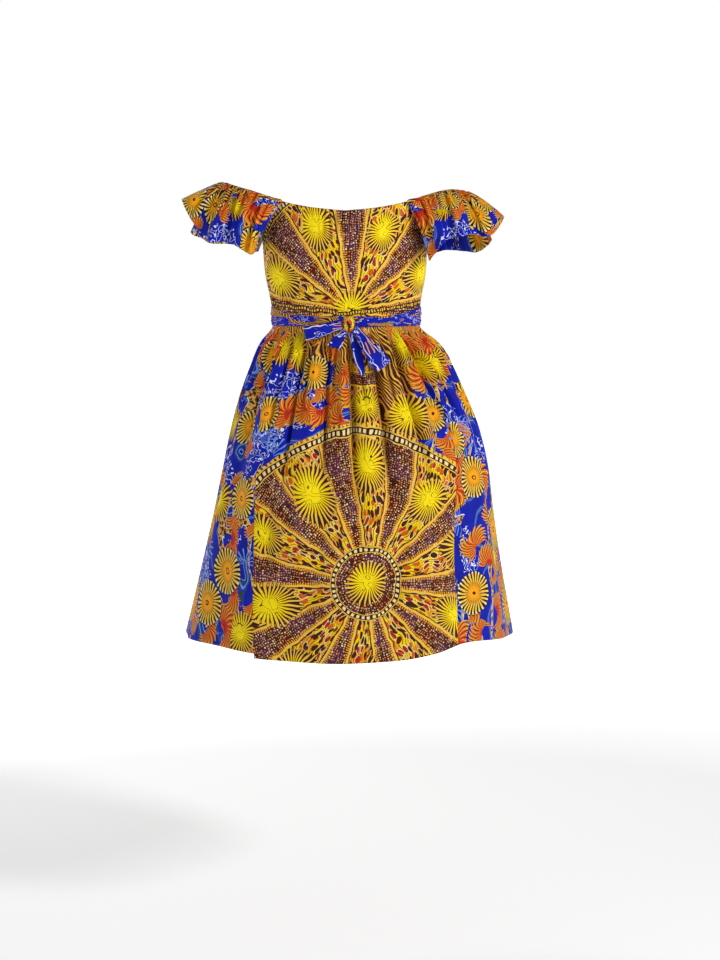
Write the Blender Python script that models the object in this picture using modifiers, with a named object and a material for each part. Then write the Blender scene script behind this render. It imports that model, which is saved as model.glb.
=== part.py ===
# Off-the-shoulder dress of wax printed cotton: a close bodice, two flounced
# sleeves, a gathered skirt in four panels and a sash tied in a bow behind.
#
# Metres, +Z up. The origin is the middle of the waist, the front faces -Y and
# +X is the wearer's left. A bearing is an angle round the body in degrees,
# 0 at the middle of the back, 90 at the wearer's left side, -90 at the right.

import bpy
from collections import namedtuple
from math import asin, cos, degrees, exp, pi, radians, sin
from mathutils import Vector

# Cloth
WALL = 0.0012
SEAM_GAP = 0.0003
NORMAL_STEP = 0.2  # degrees and millimetres stepped to find a surface's slope

# Outline of the dress by height: half widths at the two sides, half depths at back and front
Ring = namedtuple("Ring", "height left right back front")
RINGS = (
    Ring(0.230, 0.1560, 0.1510, 0.1060, 0.1080),
    Ring(0.173, 0.1555, 0.1505, 0.1070, 0.1290),
    Ring(0.121, 0.1530, 0.1500, 0.1060, 0.1360),
    Ring(0.078, 0.1490, 0.1470, 0.1030, 0.1270),
    Ring(0.041, 0.1410, 0.1400, 0.1000, 0.1130),
    Ring(0.015, 0.1365, 0.1370, 0.0985, 0.1040),
    Ring(-0.014, 0.1365, 0.1370, 0.0990, 0.1030),
    Ring(-0.024, 0.1400, 0.1430, 0.1030, 0.1070),
    Ring(-0.038, 0.1510, 0.1600, 0.1120, 0.1160),
    Ring(-0.060, 0.1620, 0.1790, 0.1240, 0.1280),
    Ring(-0.090, 0.1740, 0.1950, 0.1380, 0.1410),
    Ring(-0.140, 0.1930, 0.2190, 0.1580, 0.1580),
    Ring(-0.200, 0.2100, 0.2440, 0.1780, 0.1760),
    Ring(-0.270, 0.2270, 0.2610, 0.1980, 0.1940),
    Ring(-0.350, 0.2460, 0.2720, 0.2190, 0.2130),
    Ring(-0.440, 0.2670, 0.2860, 0.2400, 0.2330),
    Ring(-0.520, 0.2860, 0.3000, 0.2580, 0.2500),
    Ring(-0.620, 0.3110, 0.3180, 0.2770, 0.2690),
)

# Waist seam and bodice
SEAM_SIDE = 0.006
SEAM_BACK = -0.002
SEAM_FRONT = 0.002
CORNER_BACK = 47.0  # bearing where the neckline meets the armhole
CORNER_FRONT = 133.0
UNDERARM = 90.0
Edge = namedtuple("Edge", "bearing height")
NECKLINE_BACK = (Edge(0, 0.198), Edge(20, 0.203), Edge(36, 0.2095), Edge(CORNER_BACK, 0.2150))
ARMHOLE = (
    Edge(CORNER_BACK, 0.2150),
    Edge(60, 0.186),
    Edge(75, 0.163),
    Edge(UNDERARM, 0.156),
    Edge(105, 0.161),
    Edge(120, 0.180),
    Edge(CORNER_FRONT, 0.206),
)
NECKLINE_FRONT = (Edge(CORNER_FRONT, 0.206), Edge(150, 0.198), Edge(180, 0.190))
BODICE_ROWS = (0.0, 0.09, 0.2, 0.35, 0.52, 0.69, 0.85, 1.0)
PUCKER_ZONE = 17.0  # bearing each side of the middle back where the elastic gathers the cloth
PUCKERS = 8
PUCKER_DEPTH = 0.0016
PUCKER_RUN = 0.45  # share of the bodice's height that the puckers run down
PUCKER_FADE = 6.0
BACK_COLUMNS_CENTRE = 30
FLANK_COLUMNS = 4  # beside the puckers, up to the corner of the neckline
ARMHOLE_COLUMNS = 7
FRONT_COLUMNS = 20
SIDE_TURN = 0.103  # half depth of the bodice at its side seams

# Skirt
HEM = (
    Edge(-180, -0.592), Edge(-120, -0.588), Edge(-90, -0.591), Edge(-65, -0.581), Edge(-44, -0.576),
    Edge(-30, -0.587), Edge(-18, -0.595), Edge(0, -0.597), Edge(18, -0.597), Edge(32, -0.595),
    Edge(60, -0.585), Edge(90, -0.591), Edge(120, -0.588), Edge(180, -0.592),
)
HEM_STEP = 0.008  # left side panel hangs this much higher beside the back panel
HEM_STEP_REACH = 30.0
SKIRT_SEAM_GAP = 0.0004
GATHERS = 36
GATHER_DEPTH = 0.0022
GATHER_TOP = 0.030  # below the waist, where the gathers stand fullest
GATHER_END = 0.200
GATHER_FADE = 0.15
SKIRT_COLUMNS = 144
FOLD_START = 0.019  # the folds begin this far below the waist, under the sash's edge
FOLD_GROWTH = 0.040
FOLD_FADE = 0.22
SKIRT_DROPS = (0.0, 0.012, 0.020, 0.030, 0.046, 0.074, 0.120, 0.185, 0.275, 0.400, 0.598)
Seam = namedtuple("Seam", "waist hem")
SEAM_BACK_LEFT = Seam(55.0, 32.0)
SEAM_BACK_RIGHT = Seam(-57.0, -41.0)
SEAM_FRONT_LEFT = Seam(128.0, 140.0)
SEAM_FRONT_RIGHT = Seam(-128.0, -140.0)

# A fold is a ridge where depth is positive and a trough where it is negative,
# and it fades out at the drop below the waist given as its length.
Fold = namedtuple("Fold", "bearing width depth length")
FOLDS = (
    Fold(-172, 6, 0.006, 0.62), Fold(-162, 5, -0.008, 0.34), Fold(-151, 6, 0.005, 0.50),
    Fold(-141, 5, -0.008, 0.62), Fold(-130, 6, 0.005, 0.36), Fold(-120, 5, -0.008, 0.44),
    Fold(-109, 6, 0.006, 0.62), Fold(-98, 5, -0.005, 0.32), Fold(-88, 6, 0.004, 0.50),
    Fold(-78, 5, -0.008, 0.46), Fold(-68, 6, 0.005, 0.62), Fold(-59, 4, -0.005, 0.40),
    Fold(-51, 5, 0.005, 0.46), Fold(-44, 4, -0.008, 0.34), Fold(-37, 4, 0.006, 0.40),
    Fold(-30, 4, -0.010, 0.42), Fold(-23, 4, 0.004, 0.30), Fold(-17, 3, -0.010, 0.40),
    Fold(-10, 4, 0.006, 0.62), Fold(-3.5, 2.6, -0.008, 0.40), Fold(2, 3, 0.003, 0.36),
    Fold(10, 4, -0.010, 0.38), Fold(20, 5, 0.006, 0.50), Fold(29, 4, -0.008, 0.30),
    Fold(38, 4, -0.005, 0.28), Fold(47, 5, 0.006, 0.62), Fold(60, 5, -0.008, 0.42),
    Fold(70, 5, 0.005, 0.50), Fold(81, 5, -0.008, 0.62), Fold(92, 6, 0.005, 0.40),
    Fold(102, 5, -0.008, 0.36), Fold(112, 6, 0.006, 0.62), Fold(123, 5, -0.005, 0.46),
    Fold(134, 6, 0.005, 0.34), Fold(145, 5, -0.008, 0.50), Fold(156, 6, 0.005, 0.62),
    Fold(168, 5, -0.008, 0.40),
)
BROAD_WAVES = 11
BROAD_DEPTH = 0.004
BROAD_START = 0.2
BROAD_GROWTH = 0.35
BROAD_PHASE = 1.1

# Sleeves: a row for each fold line of the flounce, from the gathered edge over
# the arm to the hem, going round from the outside of the arm by way of the back
Flounce = namedtuple("Flounce", "edge_x edge_y edge_z hem_x hem_y hem_z")
Join = namedtuple("Join", "bearing hem_x hem_y hem_z")
FLOUNCE_LEFT = (
    Flounce(0.220, 0.000, 0.2490, 0.302, 0.008, 0.221),
    Flounce(0.218, 0.018, 0.2495, 0.285, 0.048, 0.186),
    Flounce(0.212, 0.033, 0.2470, 0.259, 0.064, 0.152),
    Flounce(0.203, 0.045, 0.2440, 0.243, 0.106, 0.141),
    Flounce(0.190, 0.054, 0.2400, 0.214, 0.088, 0.142),
    Flounce(0.172, 0.062, 0.2350, 0.196, 0.119, 0.134),
    Flounce(0.151, 0.069, 0.2280, 0.182, 0.093, 0.124),
    Flounce(0.131, 0.073, 0.2215, 0.171, 0.103, 0.119),
)
JOIN_LEFT = (
    Join(CORNER_BACK, 0.1640, 0.076, 0.124),
    Join(60, 0.1630, 0.049, 0.128),
    Join(75, 0.1650, 0.024, 0.131),
    Join(UNDERARM, 0.1665, 0.000, 0.133),
    Join(105, 0.1660, -0.026, 0.131),
    Join(120, 0.1650, -0.054, 0.128),
    Join(CORNER_FRONT, 0.1660, -0.084, 0.125),
)
FLOUNCE_LEFT_FRONT = (
    Flounce(0.131, -0.085, 0.2150, 0.173, -0.112, 0.123),
    Flounce(0.151, -0.079, 0.2240, 0.184, -0.097, 0.128),
    Flounce(0.172, -0.070, 0.2320, 0.201, -0.124, 0.134),
    Flounce(0.190, -0.060, 0.2385, 0.224, -0.094, 0.138),
    Flounce(0.203, -0.048, 0.2435, 0.258, -0.106, 0.139),
    Flounce(0.210, -0.038, 0.2460, 0.271, -0.076, 0.148),
    Flounce(0.216, -0.026, 0.2480, 0.291, -0.056, 0.159),
    Flounce(0.219, -0.013, 0.2488, 0.273, -0.026, 0.184),
)
FLOUNCE_RIGHT = (
    Flounce(0.216, 0.000, 0.2330, 0.2915, 0.014, 0.189),
    Flounce(0.214, 0.018, 0.2340, 0.275, 0.062, 0.163),
    Flounce(0.208, 0.033, 0.2360, 0.257, 0.084, 0.151),
    Flounce(0.200, 0.045, 0.2370, 0.234, 0.072, 0.156),
    Flounce(0.188, 0.054, 0.2365, 0.214, 0.110, 0.153),
    Flounce(0.171, 0.062, 0.2335, 0.189, 0.094, 0.147),
    Flounce(0.151, 0.069, 0.2280, 0.174, 0.108, 0.137),
    Flounce(0.131, 0.073, 0.2215, 0.161, 0.094, 0.120),
)
JOIN_RIGHT = (
    Join(CORNER_BACK, 0.1520, 0.084, 0.108),
    Join(60, 0.1540, 0.056, 0.113),
    Join(75, 0.1590, 0.026, 0.122),
    Join(UNDERARM, 0.1620, 0.000, 0.128),
    Join(105, 0.1620, -0.026, 0.128),
    Join(120, 0.1620, -0.054, 0.126),
    Join(CORNER_FRONT, 0.1640, -0.084, 0.124),
)
FLOUNCE_RIGHT_FRONT = (
    Flounce(0.131, -0.085, 0.2150, 0.172, -0.110, 0.122),
    Flounce(0.151, -0.079, 0.2240, 0.186, -0.096, 0.126),
    Flounce(0.171, -0.070, 0.2310, 0.203, -0.121, 0.126),
    Flounce(0.188, -0.060, 0.2350, 0.226, -0.092, 0.124),
    Flounce(0.200, -0.048, 0.2360, 0.247, -0.106, 0.122),
    Flounce(0.208, -0.036, 0.2350, 0.262, -0.072, 0.131),
    Flounce(0.213, -0.024, 0.2340, 0.272, -0.046, 0.145),
    Flounce(0.215, -0.012, 0.2332, 0.266, -0.022, 0.164),
)
SLEEVE_STEPS = 3  # columns from one fold line to the next
SLEEVE_ROWS = 6
FLOUNCE_LIFT = 0.62  # the cloth runs this share of its way out
FLOUNCE_FALL = 0.30  # while it falls this share of its way down
JOIN_DROP = 0.0006  # the sleeve is seamed this far below the armhole's edge

# Sash, from each side seam to a bow behind
SASH_END = 87.0
SASH_CLEAR = 0.0007
SASH_THICKNESS = 0.0028
SASH_CREASE = 0.0007
SASH_HALF_SIDE = 0.0170
SASH_HALF_KNOT = 0.0095
SASH_MIDDLE_SIDE = 0.0055
SASH_MIDDLE_KNOT = -0.0020
SASH_WIDEN = 0.25  # share of the way from the knot where the sash begins to widen
SASH_CREASES = 2.5
SASH_DRIFT = 1.3  # the creases move this many half waves across the sash along its way
SASH_EDGE_THINNING = 0.55
SASH_COLUMNS = 16
SASH_ACROSS = 7
KNOT_PLACE = Vector((-0.0055, 0.1078, -0.0060))
KNOT_HALF = Vector((0.0125, 0.0080, 0.0140))
KNOT_RIDGE = 0.03
KNOT_RIDGES = 9
KNOT_RIDGE_SLANT = 2
KNOT_REACH = 0.0088  # the two halves of the sash stop this far from the knot's middle
BOW_LIFT = 0.0074  # clear of the sash and of the fullest gathers
LOOP_ROOT = 0.0013  # half the height of a loop where it leaves the knot
LOOP_OPENING = 1.4  # how soon a loop reaches its full height
LOOP_WIDENING = 1.3
LOOP_SIDES = 6
LOOP_CAP = 5
STRAP_ACROSS = 4
Strap = namedtuple("Strap", "name x z slope length root end lift rise")
LOOPS = (
    Strap("sash_loop_left", 0.0075, -0.0095, 12, 0.068, 0.013, 0.024, 0.0010, 0.0080),
    Strap("sash_loop_right", -0.0172, -0.0128, 127, 0.086, 0.013, 0.031, 0.0044, 0.0080),
)
TAILS = (
    Strap("sash_tail_left", 0.0002, -0.0178, 52, 0.036, 0.009, 0.021, 0.0048, 0.0140),
    Strap("sash_tail_right", -0.0088, -0.0208, 112, 0.074, 0.010, 0.024, 0.0007, 0.0010),
)
TAIL_ROWS = 9
TAIL_WIDENING = 1.5
TAIL_RISING = 1.2
TAIL_SLANT = 0.35
TAIL_CURL = 0.0010

COLOURS = {
    "gold": (0.80, 0.36, 0.03),
    "blue": (0.02, 0.05, 0.52),
}
CLOTH_ROUGHNESS = 0.72


def between(first, last, share):
    return first + (last - first) * share


def smooth(share):
    share = min(max(share, 0.0), 1.0)
    return share * share * (3 - 2 * share)


def along(rows, key, column, at):
    """Value of a column where the key column reaches at, on a smooth curve through the rows."""
    keys = [getattr(row, key) for row in rows]
    values = [getattr(row, column) for row in rows]
    if keys[0] > keys[-1]:
        keys.reverse()
        values.reverse()
    if at <= keys[0]:
        return values[0]
    if at >= keys[-1]:
        return values[-1]
    last = len(keys) - 1
    i = max(k for k in range(last) if keys[k] <= at)
    slopes = []
    for j in (i, i + 1):
        low, high = max(j - 1, 0), min(j + 1, last)
        slopes.append((values[high] - values[low]) / (keys[high] - keys[low]))
    span = keys[i + 1] - keys[i]
    t = (at - keys[i]) / span
    return (
        values[i] * (1 + 2 * t) * (1 - t) ** 2
        + values[i + 1] * t * t * (3 - 2 * t)
        + slopes[0] * span * t * (1 - t) ** 2
        - slopes[1] * span * t * t * (1 - t)
    )


def outline(bearing, height):
    """Point of the plain outline, with no folds."""
    side = "left" if sin(radians(bearing)) > 0 else "right"
    face = "back" if cos(radians(bearing)) > 0 else "front"
    x = along(RINGS, "height", side, height) * sin(radians(bearing))
    y = along(RINGS, "height", face, height) * cos(radians(bearing))
    return Vector((x, y, height))


def outward(bearing, height):
    """Level direction that points out of the plain outline."""
    before = outline(bearing - 1, height)
    after = outline(bearing + 1, height)
    run = after - before
    return Vector((-run.y, run.x, 0)).normalized()


def seam_height(bearing):
    level = cos(radians(bearing))
    target = SEAM_BACK if level > 0 else SEAM_FRONT
    return between(SEAM_SIDE, target, level * level)


def top_height(bearing):
    bearing = abs(bearing)
    if bearing <= CORNER_BACK:
        return along(NECKLINE_BACK, "bearing", "height", bearing)
    if bearing <= CORNER_FRONT:
        return along(ARMHOLE, "bearing", "height", bearing)
    return along(NECKLINE_FRONT, "bearing", "height", bearing)


def bodice_surface(bearing, share):
    """Outer face of the bodice, share 0 at the waist seam and 1 at the upper edge."""
    low = seam_height(bearing) + SEAM_GAP / 2
    height = between(low, top_height(bearing), share)
    point = outline(bearing, height)
    if abs(bearing) < PUCKER_ZONE:
        fade = smooth((PUCKER_ZONE - abs(bearing)) / PUCKER_FADE)
        fade *= smooth((share - 1 + PUCKER_RUN) / PUCKER_RUN)
        wave = cos(pi * PUCKERS * (bearing / PUCKER_ZONE))
        point += outward(bearing, height) * PUCKER_DEPTH * fade * wave
    return point


def fold_height(bearing, drop):
    """How far the folds and gathers stand out from the plain outline."""
    rising = smooth((drop - FOLD_START) / (GATHER_TOP - FOLD_START))
    rising *= smooth((GATHER_END - drop) / GATHER_FADE)
    gathers = GATHER_DEPTH * cos(radians(bearing) * GATHERS) * rising
    folds = 0.0
    for fold in FOLDS:
        away = (bearing - fold.bearing + 180) % 360 - 180
        if abs(away) < fold.width * 3:
            end = smooth((fold.length - drop) / FOLD_FADE)
            folds += fold.depth * exp(-((away / fold.width) ** 2)) * end
    broad = BROAD_DEPTH * sin(radians(bearing) * BROAD_WAVES + BROAD_PHASE)
    broad *= smooth((drop - BROAD_START) / BROAD_GROWTH)
    return gathers + folds * smooth((drop - FOLD_START) / FOLD_GROWTH) + broad


def skirt_surface(bearing, drop):
    """Outer face of the skirt at a drop below the waist seam."""
    height = seam_height(bearing) - SEAM_GAP / 2 - drop
    return outline(bearing, height) + outward(bearing, height) * fold_height(bearing, drop)


def wall_points(surface, bearing, down, down_step):
    """Outer point, and the point one wall thickness inside it."""
    point = surface(bearing, down)
    run = surface(bearing + NORMAL_STEP, down) - surface(bearing - NORMAL_STEP, down)
    fall = surface(bearing, down + down_step) - surface(bearing, down - down_step)
    normal = run.cross(fall).normalized()
    if normal.dot(Vector((point.x, point.y, 0))) < 0:
        normal = -normal
    return point, point - normal * WALL


def new_piece(name, verts, faces, colour):
    mesh = bpy.data.meshes.new(name)
    mesh.from_pydata(verts, [], faces)
    mesh.validate()
    mesh.shade_smooth()
    material = bpy.data.materials.new(name)
    material.use_nodes = True
    shader = material.node_tree.nodes["Principled BSDF"]
    shader.inputs["Base Color"].default_value = (*COLOURS[colour], 1)
    shader.inputs["Roughness"].default_value = CLOTH_ROUGHNESS
    mesh.materials.append(material)
    piece = bpy.data.objects.new(name, mesh)
    dress.objects.link(piece)
    return piece


def cloth_panel(name, outer, inner, colour):
    """Closed wall between two grids of points, each a list of rows from bearing low to high."""
    rows, columns = len(outer), len(outer[0])
    verts = [point for grid in (outer, inner) for row in grid for point in row]
    inside = rows * columns

    def at(row, column, layer=0):
        return layer * inside + row * columns + column

    faces = []
    for r in range(rows - 1):
        for c in range(columns - 1):
            faces.append((at(r, c), at(r, c + 1), at(r + 1, c + 1), at(r + 1, c)))
            faces.append((at(r, c, 1), at(r + 1, c, 1), at(r + 1, c + 1, 1), at(r, c + 1, 1)))
    for r, turn in ((0, -1), (rows - 1, 1)):
        for c in range(columns - 1):
            faces.append((at(r, c), at(r, c + 1), at(r, c + 1, 1), at(r, c, 1))[::turn])
    for c, turn in ((0, 1), (columns - 1, -1)):
        for r in range(rows - 1):
            faces.append((at(r, c), at(r + 1, c), at(r + 1, c, 1), at(r, c, 1))[::turn])
    return new_piece(name, verts, faces, colour)


def bodice_panel(name, bearings, colour):
    outer, inner = [], []
    for share in BODICE_ROWS[::-1]:
        pairs = [wall_points(bodice_surface, b, share, 0.002) for b in bearings]
        outer.append([pair[0] for pair in pairs])
        inner.append([pair[1] for pair in pairs])
    return cloth_panel(name, outer, inner, colour)


def side_trim(bearing):
    """Bearing of half the gap that parts the bodice's panels at a side seam."""
    return degrees(SEAM_GAP / 2 / SIDE_TURN) * (1 if bearing > 0 else -1)


def spread(first, last, count):
    """Bearings from first to last, both included."""
    return [between(first, last, i / count) for i in range(count + 1)]


def build_bodice():
    side = UNDERARM - side_trim(1)
    centre = spread(-PUCKER_ZONE, PUCKER_ZONE, BACK_COLUMNS_CENTRE)
    flank = spread(PUCKER_ZONE, CORNER_BACK, FLANK_COLUMNS)[1:]
    flank += spread(CORNER_BACK, side, ARMHOLE_COLUMNS)[1:]
    back = [-b for b in reversed(flank)] + centre + flank
    bodice_panel("bodice_back", back, "gold")
    armhole = spread(UNDERARM + side_trim(1), CORNER_FRONT, ARMHOLE_COLUMNS)
    middle = spread(CORNER_FRONT, 360 - CORNER_FRONT, FRONT_COLUMNS)[1:-1]
    front = armhole + middle + [360 - b for b in reversed(armhole)]
    bodice_panel("bodice_front", front, "gold")


def skirt_drop_end(bearing, step):
    """Drop to the hem, with the step beside the back panel's left seam."""
    past = bearing - SEAM_BACK_LEFT.hem
    lift = HEM_STEP * smooth(1 - max(past, 0) / HEM_STEP_REACH) if step else 0.0
    hem = along(HEM, "bearing", "height", (bearing + 180) % 360 - 180)
    return seam_height(bearing) - hem - lift


def seam_bearing(seam, share, step):
    """Bearing of a seam at a share of the way down, the same at one height on both its panels."""
    rough = between(seam.waist, seam.hem, share)
    shorter = skirt_drop_end(rough, step) / skirt_drop_end(rough, False)
    return between(seam.waist, seam.hem, share * shorter)


def skirt_panel(name, low, high, colour, step=False):
    """Panel between two seams, each given by its bearings at the waist and at the hem."""
    count = max(round(abs(high.waist - low.waist) / 360 * SKIRT_COLUMNS), 8)
    outer, inner = [], []
    for drop in SKIRT_DROPS:
        share = drop / SKIRT_DROPS[-1]
        first = seam_bearing(low, share, step)
        last = seam_bearing(high, share, step)
        degree = (outline(first + 0.5, -drop) - outline(first - 0.5, -drop)).length
        trim = SKIRT_SEAM_GAP / 2 / degree
        pairs = []
        for i in range(count + 1):
            bearing = between(first + trim, last - trim, i / count)
            real_drop = share * skirt_drop_end(bearing, step)
            pairs.append(wall_points(skirt_surface, bearing, real_drop, 0.001))
        outer.append([pair[0] for pair in pairs])
        inner.append([pair[1] for pair in pairs])
    return cloth_panel(name, outer, inner, colour)


def build_skirt():
    front_right = Seam(360 + SEAM_FRONT_RIGHT.waist, 360 + SEAM_FRONT_RIGHT.hem)
    skirt_panel("skirt_back", SEAM_BACK_RIGHT, SEAM_BACK_LEFT, "gold")
    skirt_panel("skirt_side_left", SEAM_BACK_LEFT, SEAM_FRONT_LEFT, "blue", step=True)
    skirt_panel("skirt_front", SEAM_FRONT_LEFT, front_right, "gold")
    skirt_panel("skirt_side_right", SEAM_FRONT_RIGHT, SEAM_BACK_RIGHT, "blue")


def add_thickness(piece, thickness):
    solidify = piece.modifiers.new("Cloth", "SOLIDIFY")
    solidify.thickness = thickness
    solidify.offset = 0


def curve_point(before, start, end, after, t):
    """Point on the smooth curve from start to end."""
    return 0.5 * (
        start * 2
        + (end - before) * t
        + (before * 2 - start * 5 + end * 4 - after) * t * t
        + (start * 3 - before - end * 3 + after) * t * t * t
    )


def armhole_point(bearing, side):
    """Where the sleeve is seamed to the armhole's edge, half a wall and a gap outside the bodice."""
    bearing *= side
    height = top_height(bearing)
    low = seam_height(bearing) + SEAM_GAP / 2
    share = 1 - JOIN_DROP / (height - low)
    point, inside = wall_points(bodice_surface, bearing, share, 0.002)
    return point + (point - inside).normalized() * (SEAM_GAP + WALL / 2)


def sleeve(name, side, back_rows, join_rows, front_rows, colour):
    """Flounced tube round the arm, from its gathered upper edge to its wavy hem."""
    mirror = Vector((side, 1, 1))
    edges, hems, bearings = [], [], []
    for row in (*back_rows, *join_rows, *front_rows):
        hems.append(Vector((row.hem_x, row.hem_y, row.hem_z)) * mirror)
        if isinstance(row, Join):
            edges.append(armhole_point(row.bearing, side))
            bearings.append(row.bearing)
        else:
            edges.append(Vector((row.edge_x, row.edge_y, row.edge_z)) * mirror)
            bearings.append(None)
    count = len(hems)
    tops, ends = [], []
    for i in range(count):
        near = [(i + k) % count for k in (-1, 0, 1, 2)]
        for step in range(SLEEVE_STEPS):
            t = step / SLEEVE_STEPS
            ends.append(curve_point(*(hems[k] for k in near), t))
            here, there = bearings[near[1]], bearings[near[2]]
            if here is not None and there is not None:
                tops.append(armhole_point(between(here, there, t), side))
            else:
                tops.append(curve_point(*(edges[k] for k in near), t))
    rows = []
    for r in range(SLEEVE_ROWS + 1):
        t = r / SLEEVE_ROWS
        row = []
        for top, end in zip(tops, ends):
            turn = top.lerp(end, FLOUNCE_LIFT)
            turn.z = between(top.z, end.z, FLOUNCE_FALL)
            row.append(top * (1 - t) ** 2 + turn * 2 * t * (1 - t) + end * t * t)
        rows.append(row)
    around = len(tops)
    faces = []
    for r in range(SLEEVE_ROWS):
        for c in range(around):
            d = (c + 1) % around
            face = (r * around + c, (r + 1) * around + c, (r + 1) * around + d, r * around + d)
            faces.append(face if side > 0 else face[::-1])
    piece = new_piece(name, [p for row in rows for p in row], faces, colour)
    add_thickness(piece, WALL)
    return piece


def sash_half(name, side, colour):
    """Creased band from a side seam to the knot, a little off the cloth below it."""
    end_bearing = degrees(asin((KNOT_REACH + side * KNOT_PLACE.x) / RINGS[5].left))
    outer, inner = [], []
    for j in range(SASH_ACROSS):
        v = 1 - 2 * j / (SASH_ACROSS - 1)
        out_row, in_row = [], []
        for i in range(SASH_COLUMNS + 1):
            share = i / SASH_COLUMNS
            bearing = side * between(end_bearing, SASH_END, share)
            wide = smooth((share - SASH_WIDEN) / (1 - SASH_WIDEN))
            half = between(SASH_HALF_KNOT, SASH_HALF_SIDE, wide)
            height = between(SASH_MIDDLE_KNOT, SASH_MIDDLE_SIDE, wide) + v * half
            base = outline(bearing, height)
            off = outward(bearing, height)
            crease = SASH_CREASE * cos(pi * (SASH_CREASES * v + SASH_DRIFT * share))
            full = SASH_THICKNESS * (1 - SASH_EDGE_THINNING * v * v) + crease * (1 - v * v)
            out_row.append(base + off * (SASH_CLEAR + full))
            in_row.append(base + off * SASH_CLEAR)
        turn = 1 if side > 0 else -1
        outer.append(out_row[::turn])
        inner.append(in_row[::turn])
    return cloth_panel(name, outer, inner, colour)


def cloth_depth(x, z):
    """How far back the dress stands at a place seen from behind."""
    half = along(RINGS, "height", "left" if x > 0 else "right", z)
    return along(RINGS, "height", "back", z) * cos(asin(x / half))


def strap_point(strap, out, across, lift):
    """Place on a bow piece: out from the knot, across its width and up off the cloth."""
    slope = radians(strap.slope)
    x = strap.x + out * cos(slope) + across * sin(slope)
    z = strap.z - out * sin(slope) + across * cos(slope)
    return Vector((x, cloth_depth(x, z) + BOW_LIFT + strap.lift + lift, z))


def loop_path(strap):
    """Places round a loop, each as the way out from the knot and the lift off the cloth."""
    first, last = LOOP_ROOT, strap.length - strap.rise
    lower, upper = [], []
    for i in range(LOOP_SIDES + 1):
        share = i / LOOP_SIDES
        half = between(LOOP_ROOT, strap.rise, smooth(share * LOOP_OPENING))
        out = between(first, last, share)
        lower.append((out, 0.0))
        upper.append((out, half * 2))
    end, root = [], []
    for i in range(1, LOOP_CAP):
        turn = pi * i / LOOP_CAP
        end.append((last + strap.rise * sin(turn), strap.rise * (1 - cos(turn))))
        root.append((first - LOOP_ROOT * sin(turn), LOOP_ROOT * (1 + cos(turn))))
    return lower + end + upper[::-1] + root


def build_loops(colour):
    for strap in LOOPS:
        verts, faces = [], []
        path = loop_path(strap)
        for out, lift in path:
            width = between(strap.root, strap.end, smooth(out / strap.length * LOOP_WIDENING))
            for k in range(STRAP_ACROSS + 1):
                across = width * (k / STRAP_ACROSS - 0.5)
                verts.append(strap_point(strap, out, across, lift))
        wide = STRAP_ACROSS + 1
        for p in range(len(path)):
            q = (p + 1) % len(path)
            for k in range(STRAP_ACROSS):
                faces.append((p * wide + k, p * wide + k + 1, q * wide + k + 1, q * wide + k))
        add_thickness(new_piece(strap.name, verts, faces, colour), WALL)


def build_tails(colour):
    for strap in TAILS:
        verts, faces = [], []
        for p in range(TAIL_ROWS):
            share = p / (TAIL_ROWS - 1)
            width = between(strap.root, strap.end, smooth(share * TAIL_WIDENING))
            for k in range(STRAP_ACROSS + 1):
                v = k / STRAP_ACROSS - 0.5
                slant = TAIL_SLANT * width * v * smooth(share * 2 - 1)
                lift = strap.rise * smooth(share * TAIL_RISING) + TAIL_CURL * cos(2 * pi * v) * (1 - share)
                verts.append(strap_point(strap, strap.length * share + slant, width * v, lift))
        wide = STRAP_ACROSS + 1
        for p in range(TAIL_ROWS - 1):
            for k in range(STRAP_ACROSS):
                faces.append((p * wide + k, p * wide + k + 1, (p + 1) * wide + k + 1, (p + 1) * wide + k))
        add_thickness(new_piece(strap.name, verts, faces, colour), WALL)


def build_knot(colour):
    bpy.ops.mesh.primitive_uv_sphere_add(segments=16, ring_count=10, radius=1)
    ball = bpy.context.object
    verts = []
    for vertex in ball.data.vertices:
        place = Vector(vertex.co)
        wave = cos(KNOT_RIDGES * place.x + KNOT_RIDGE_SLANT * place.z)
        ridge = 1 - KNOT_RIDGE * (1 + wave) * (1 - place.z * place.z)
        verts.append(place * KNOT_HALF * ridge + KNOT_PLACE)
    faces = [tuple(face.vertices) for face in ball.data.polygons]
    bpy.data.objects.remove(ball)
    return new_piece("sash_knot", verts, faces, colour)


for old in list(bpy.data.objects):
    bpy.data.objects.remove(old)
dress = bpy.data.collections.new("wax_print_dress")
bpy.context.scene.collection.children.link(dress)

build_bodice()
sleeve("sleeve_left", 1, FLOUNCE_LEFT, JOIN_LEFT, FLOUNCE_LEFT_FRONT, "blue")
sleeve("sleeve_right", -1, FLOUNCE_RIGHT, JOIN_RIGHT, FLOUNCE_RIGHT_FRONT, "blue")
build_skirt()
sash_half("sash_left", 1, "blue")
sash_half("sash_right", -1, "blue")
build_knot("gold")
build_loops("blue")
build_tails("blue")
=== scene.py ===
from collections import namedtuple
from math import pi, radians

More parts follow.
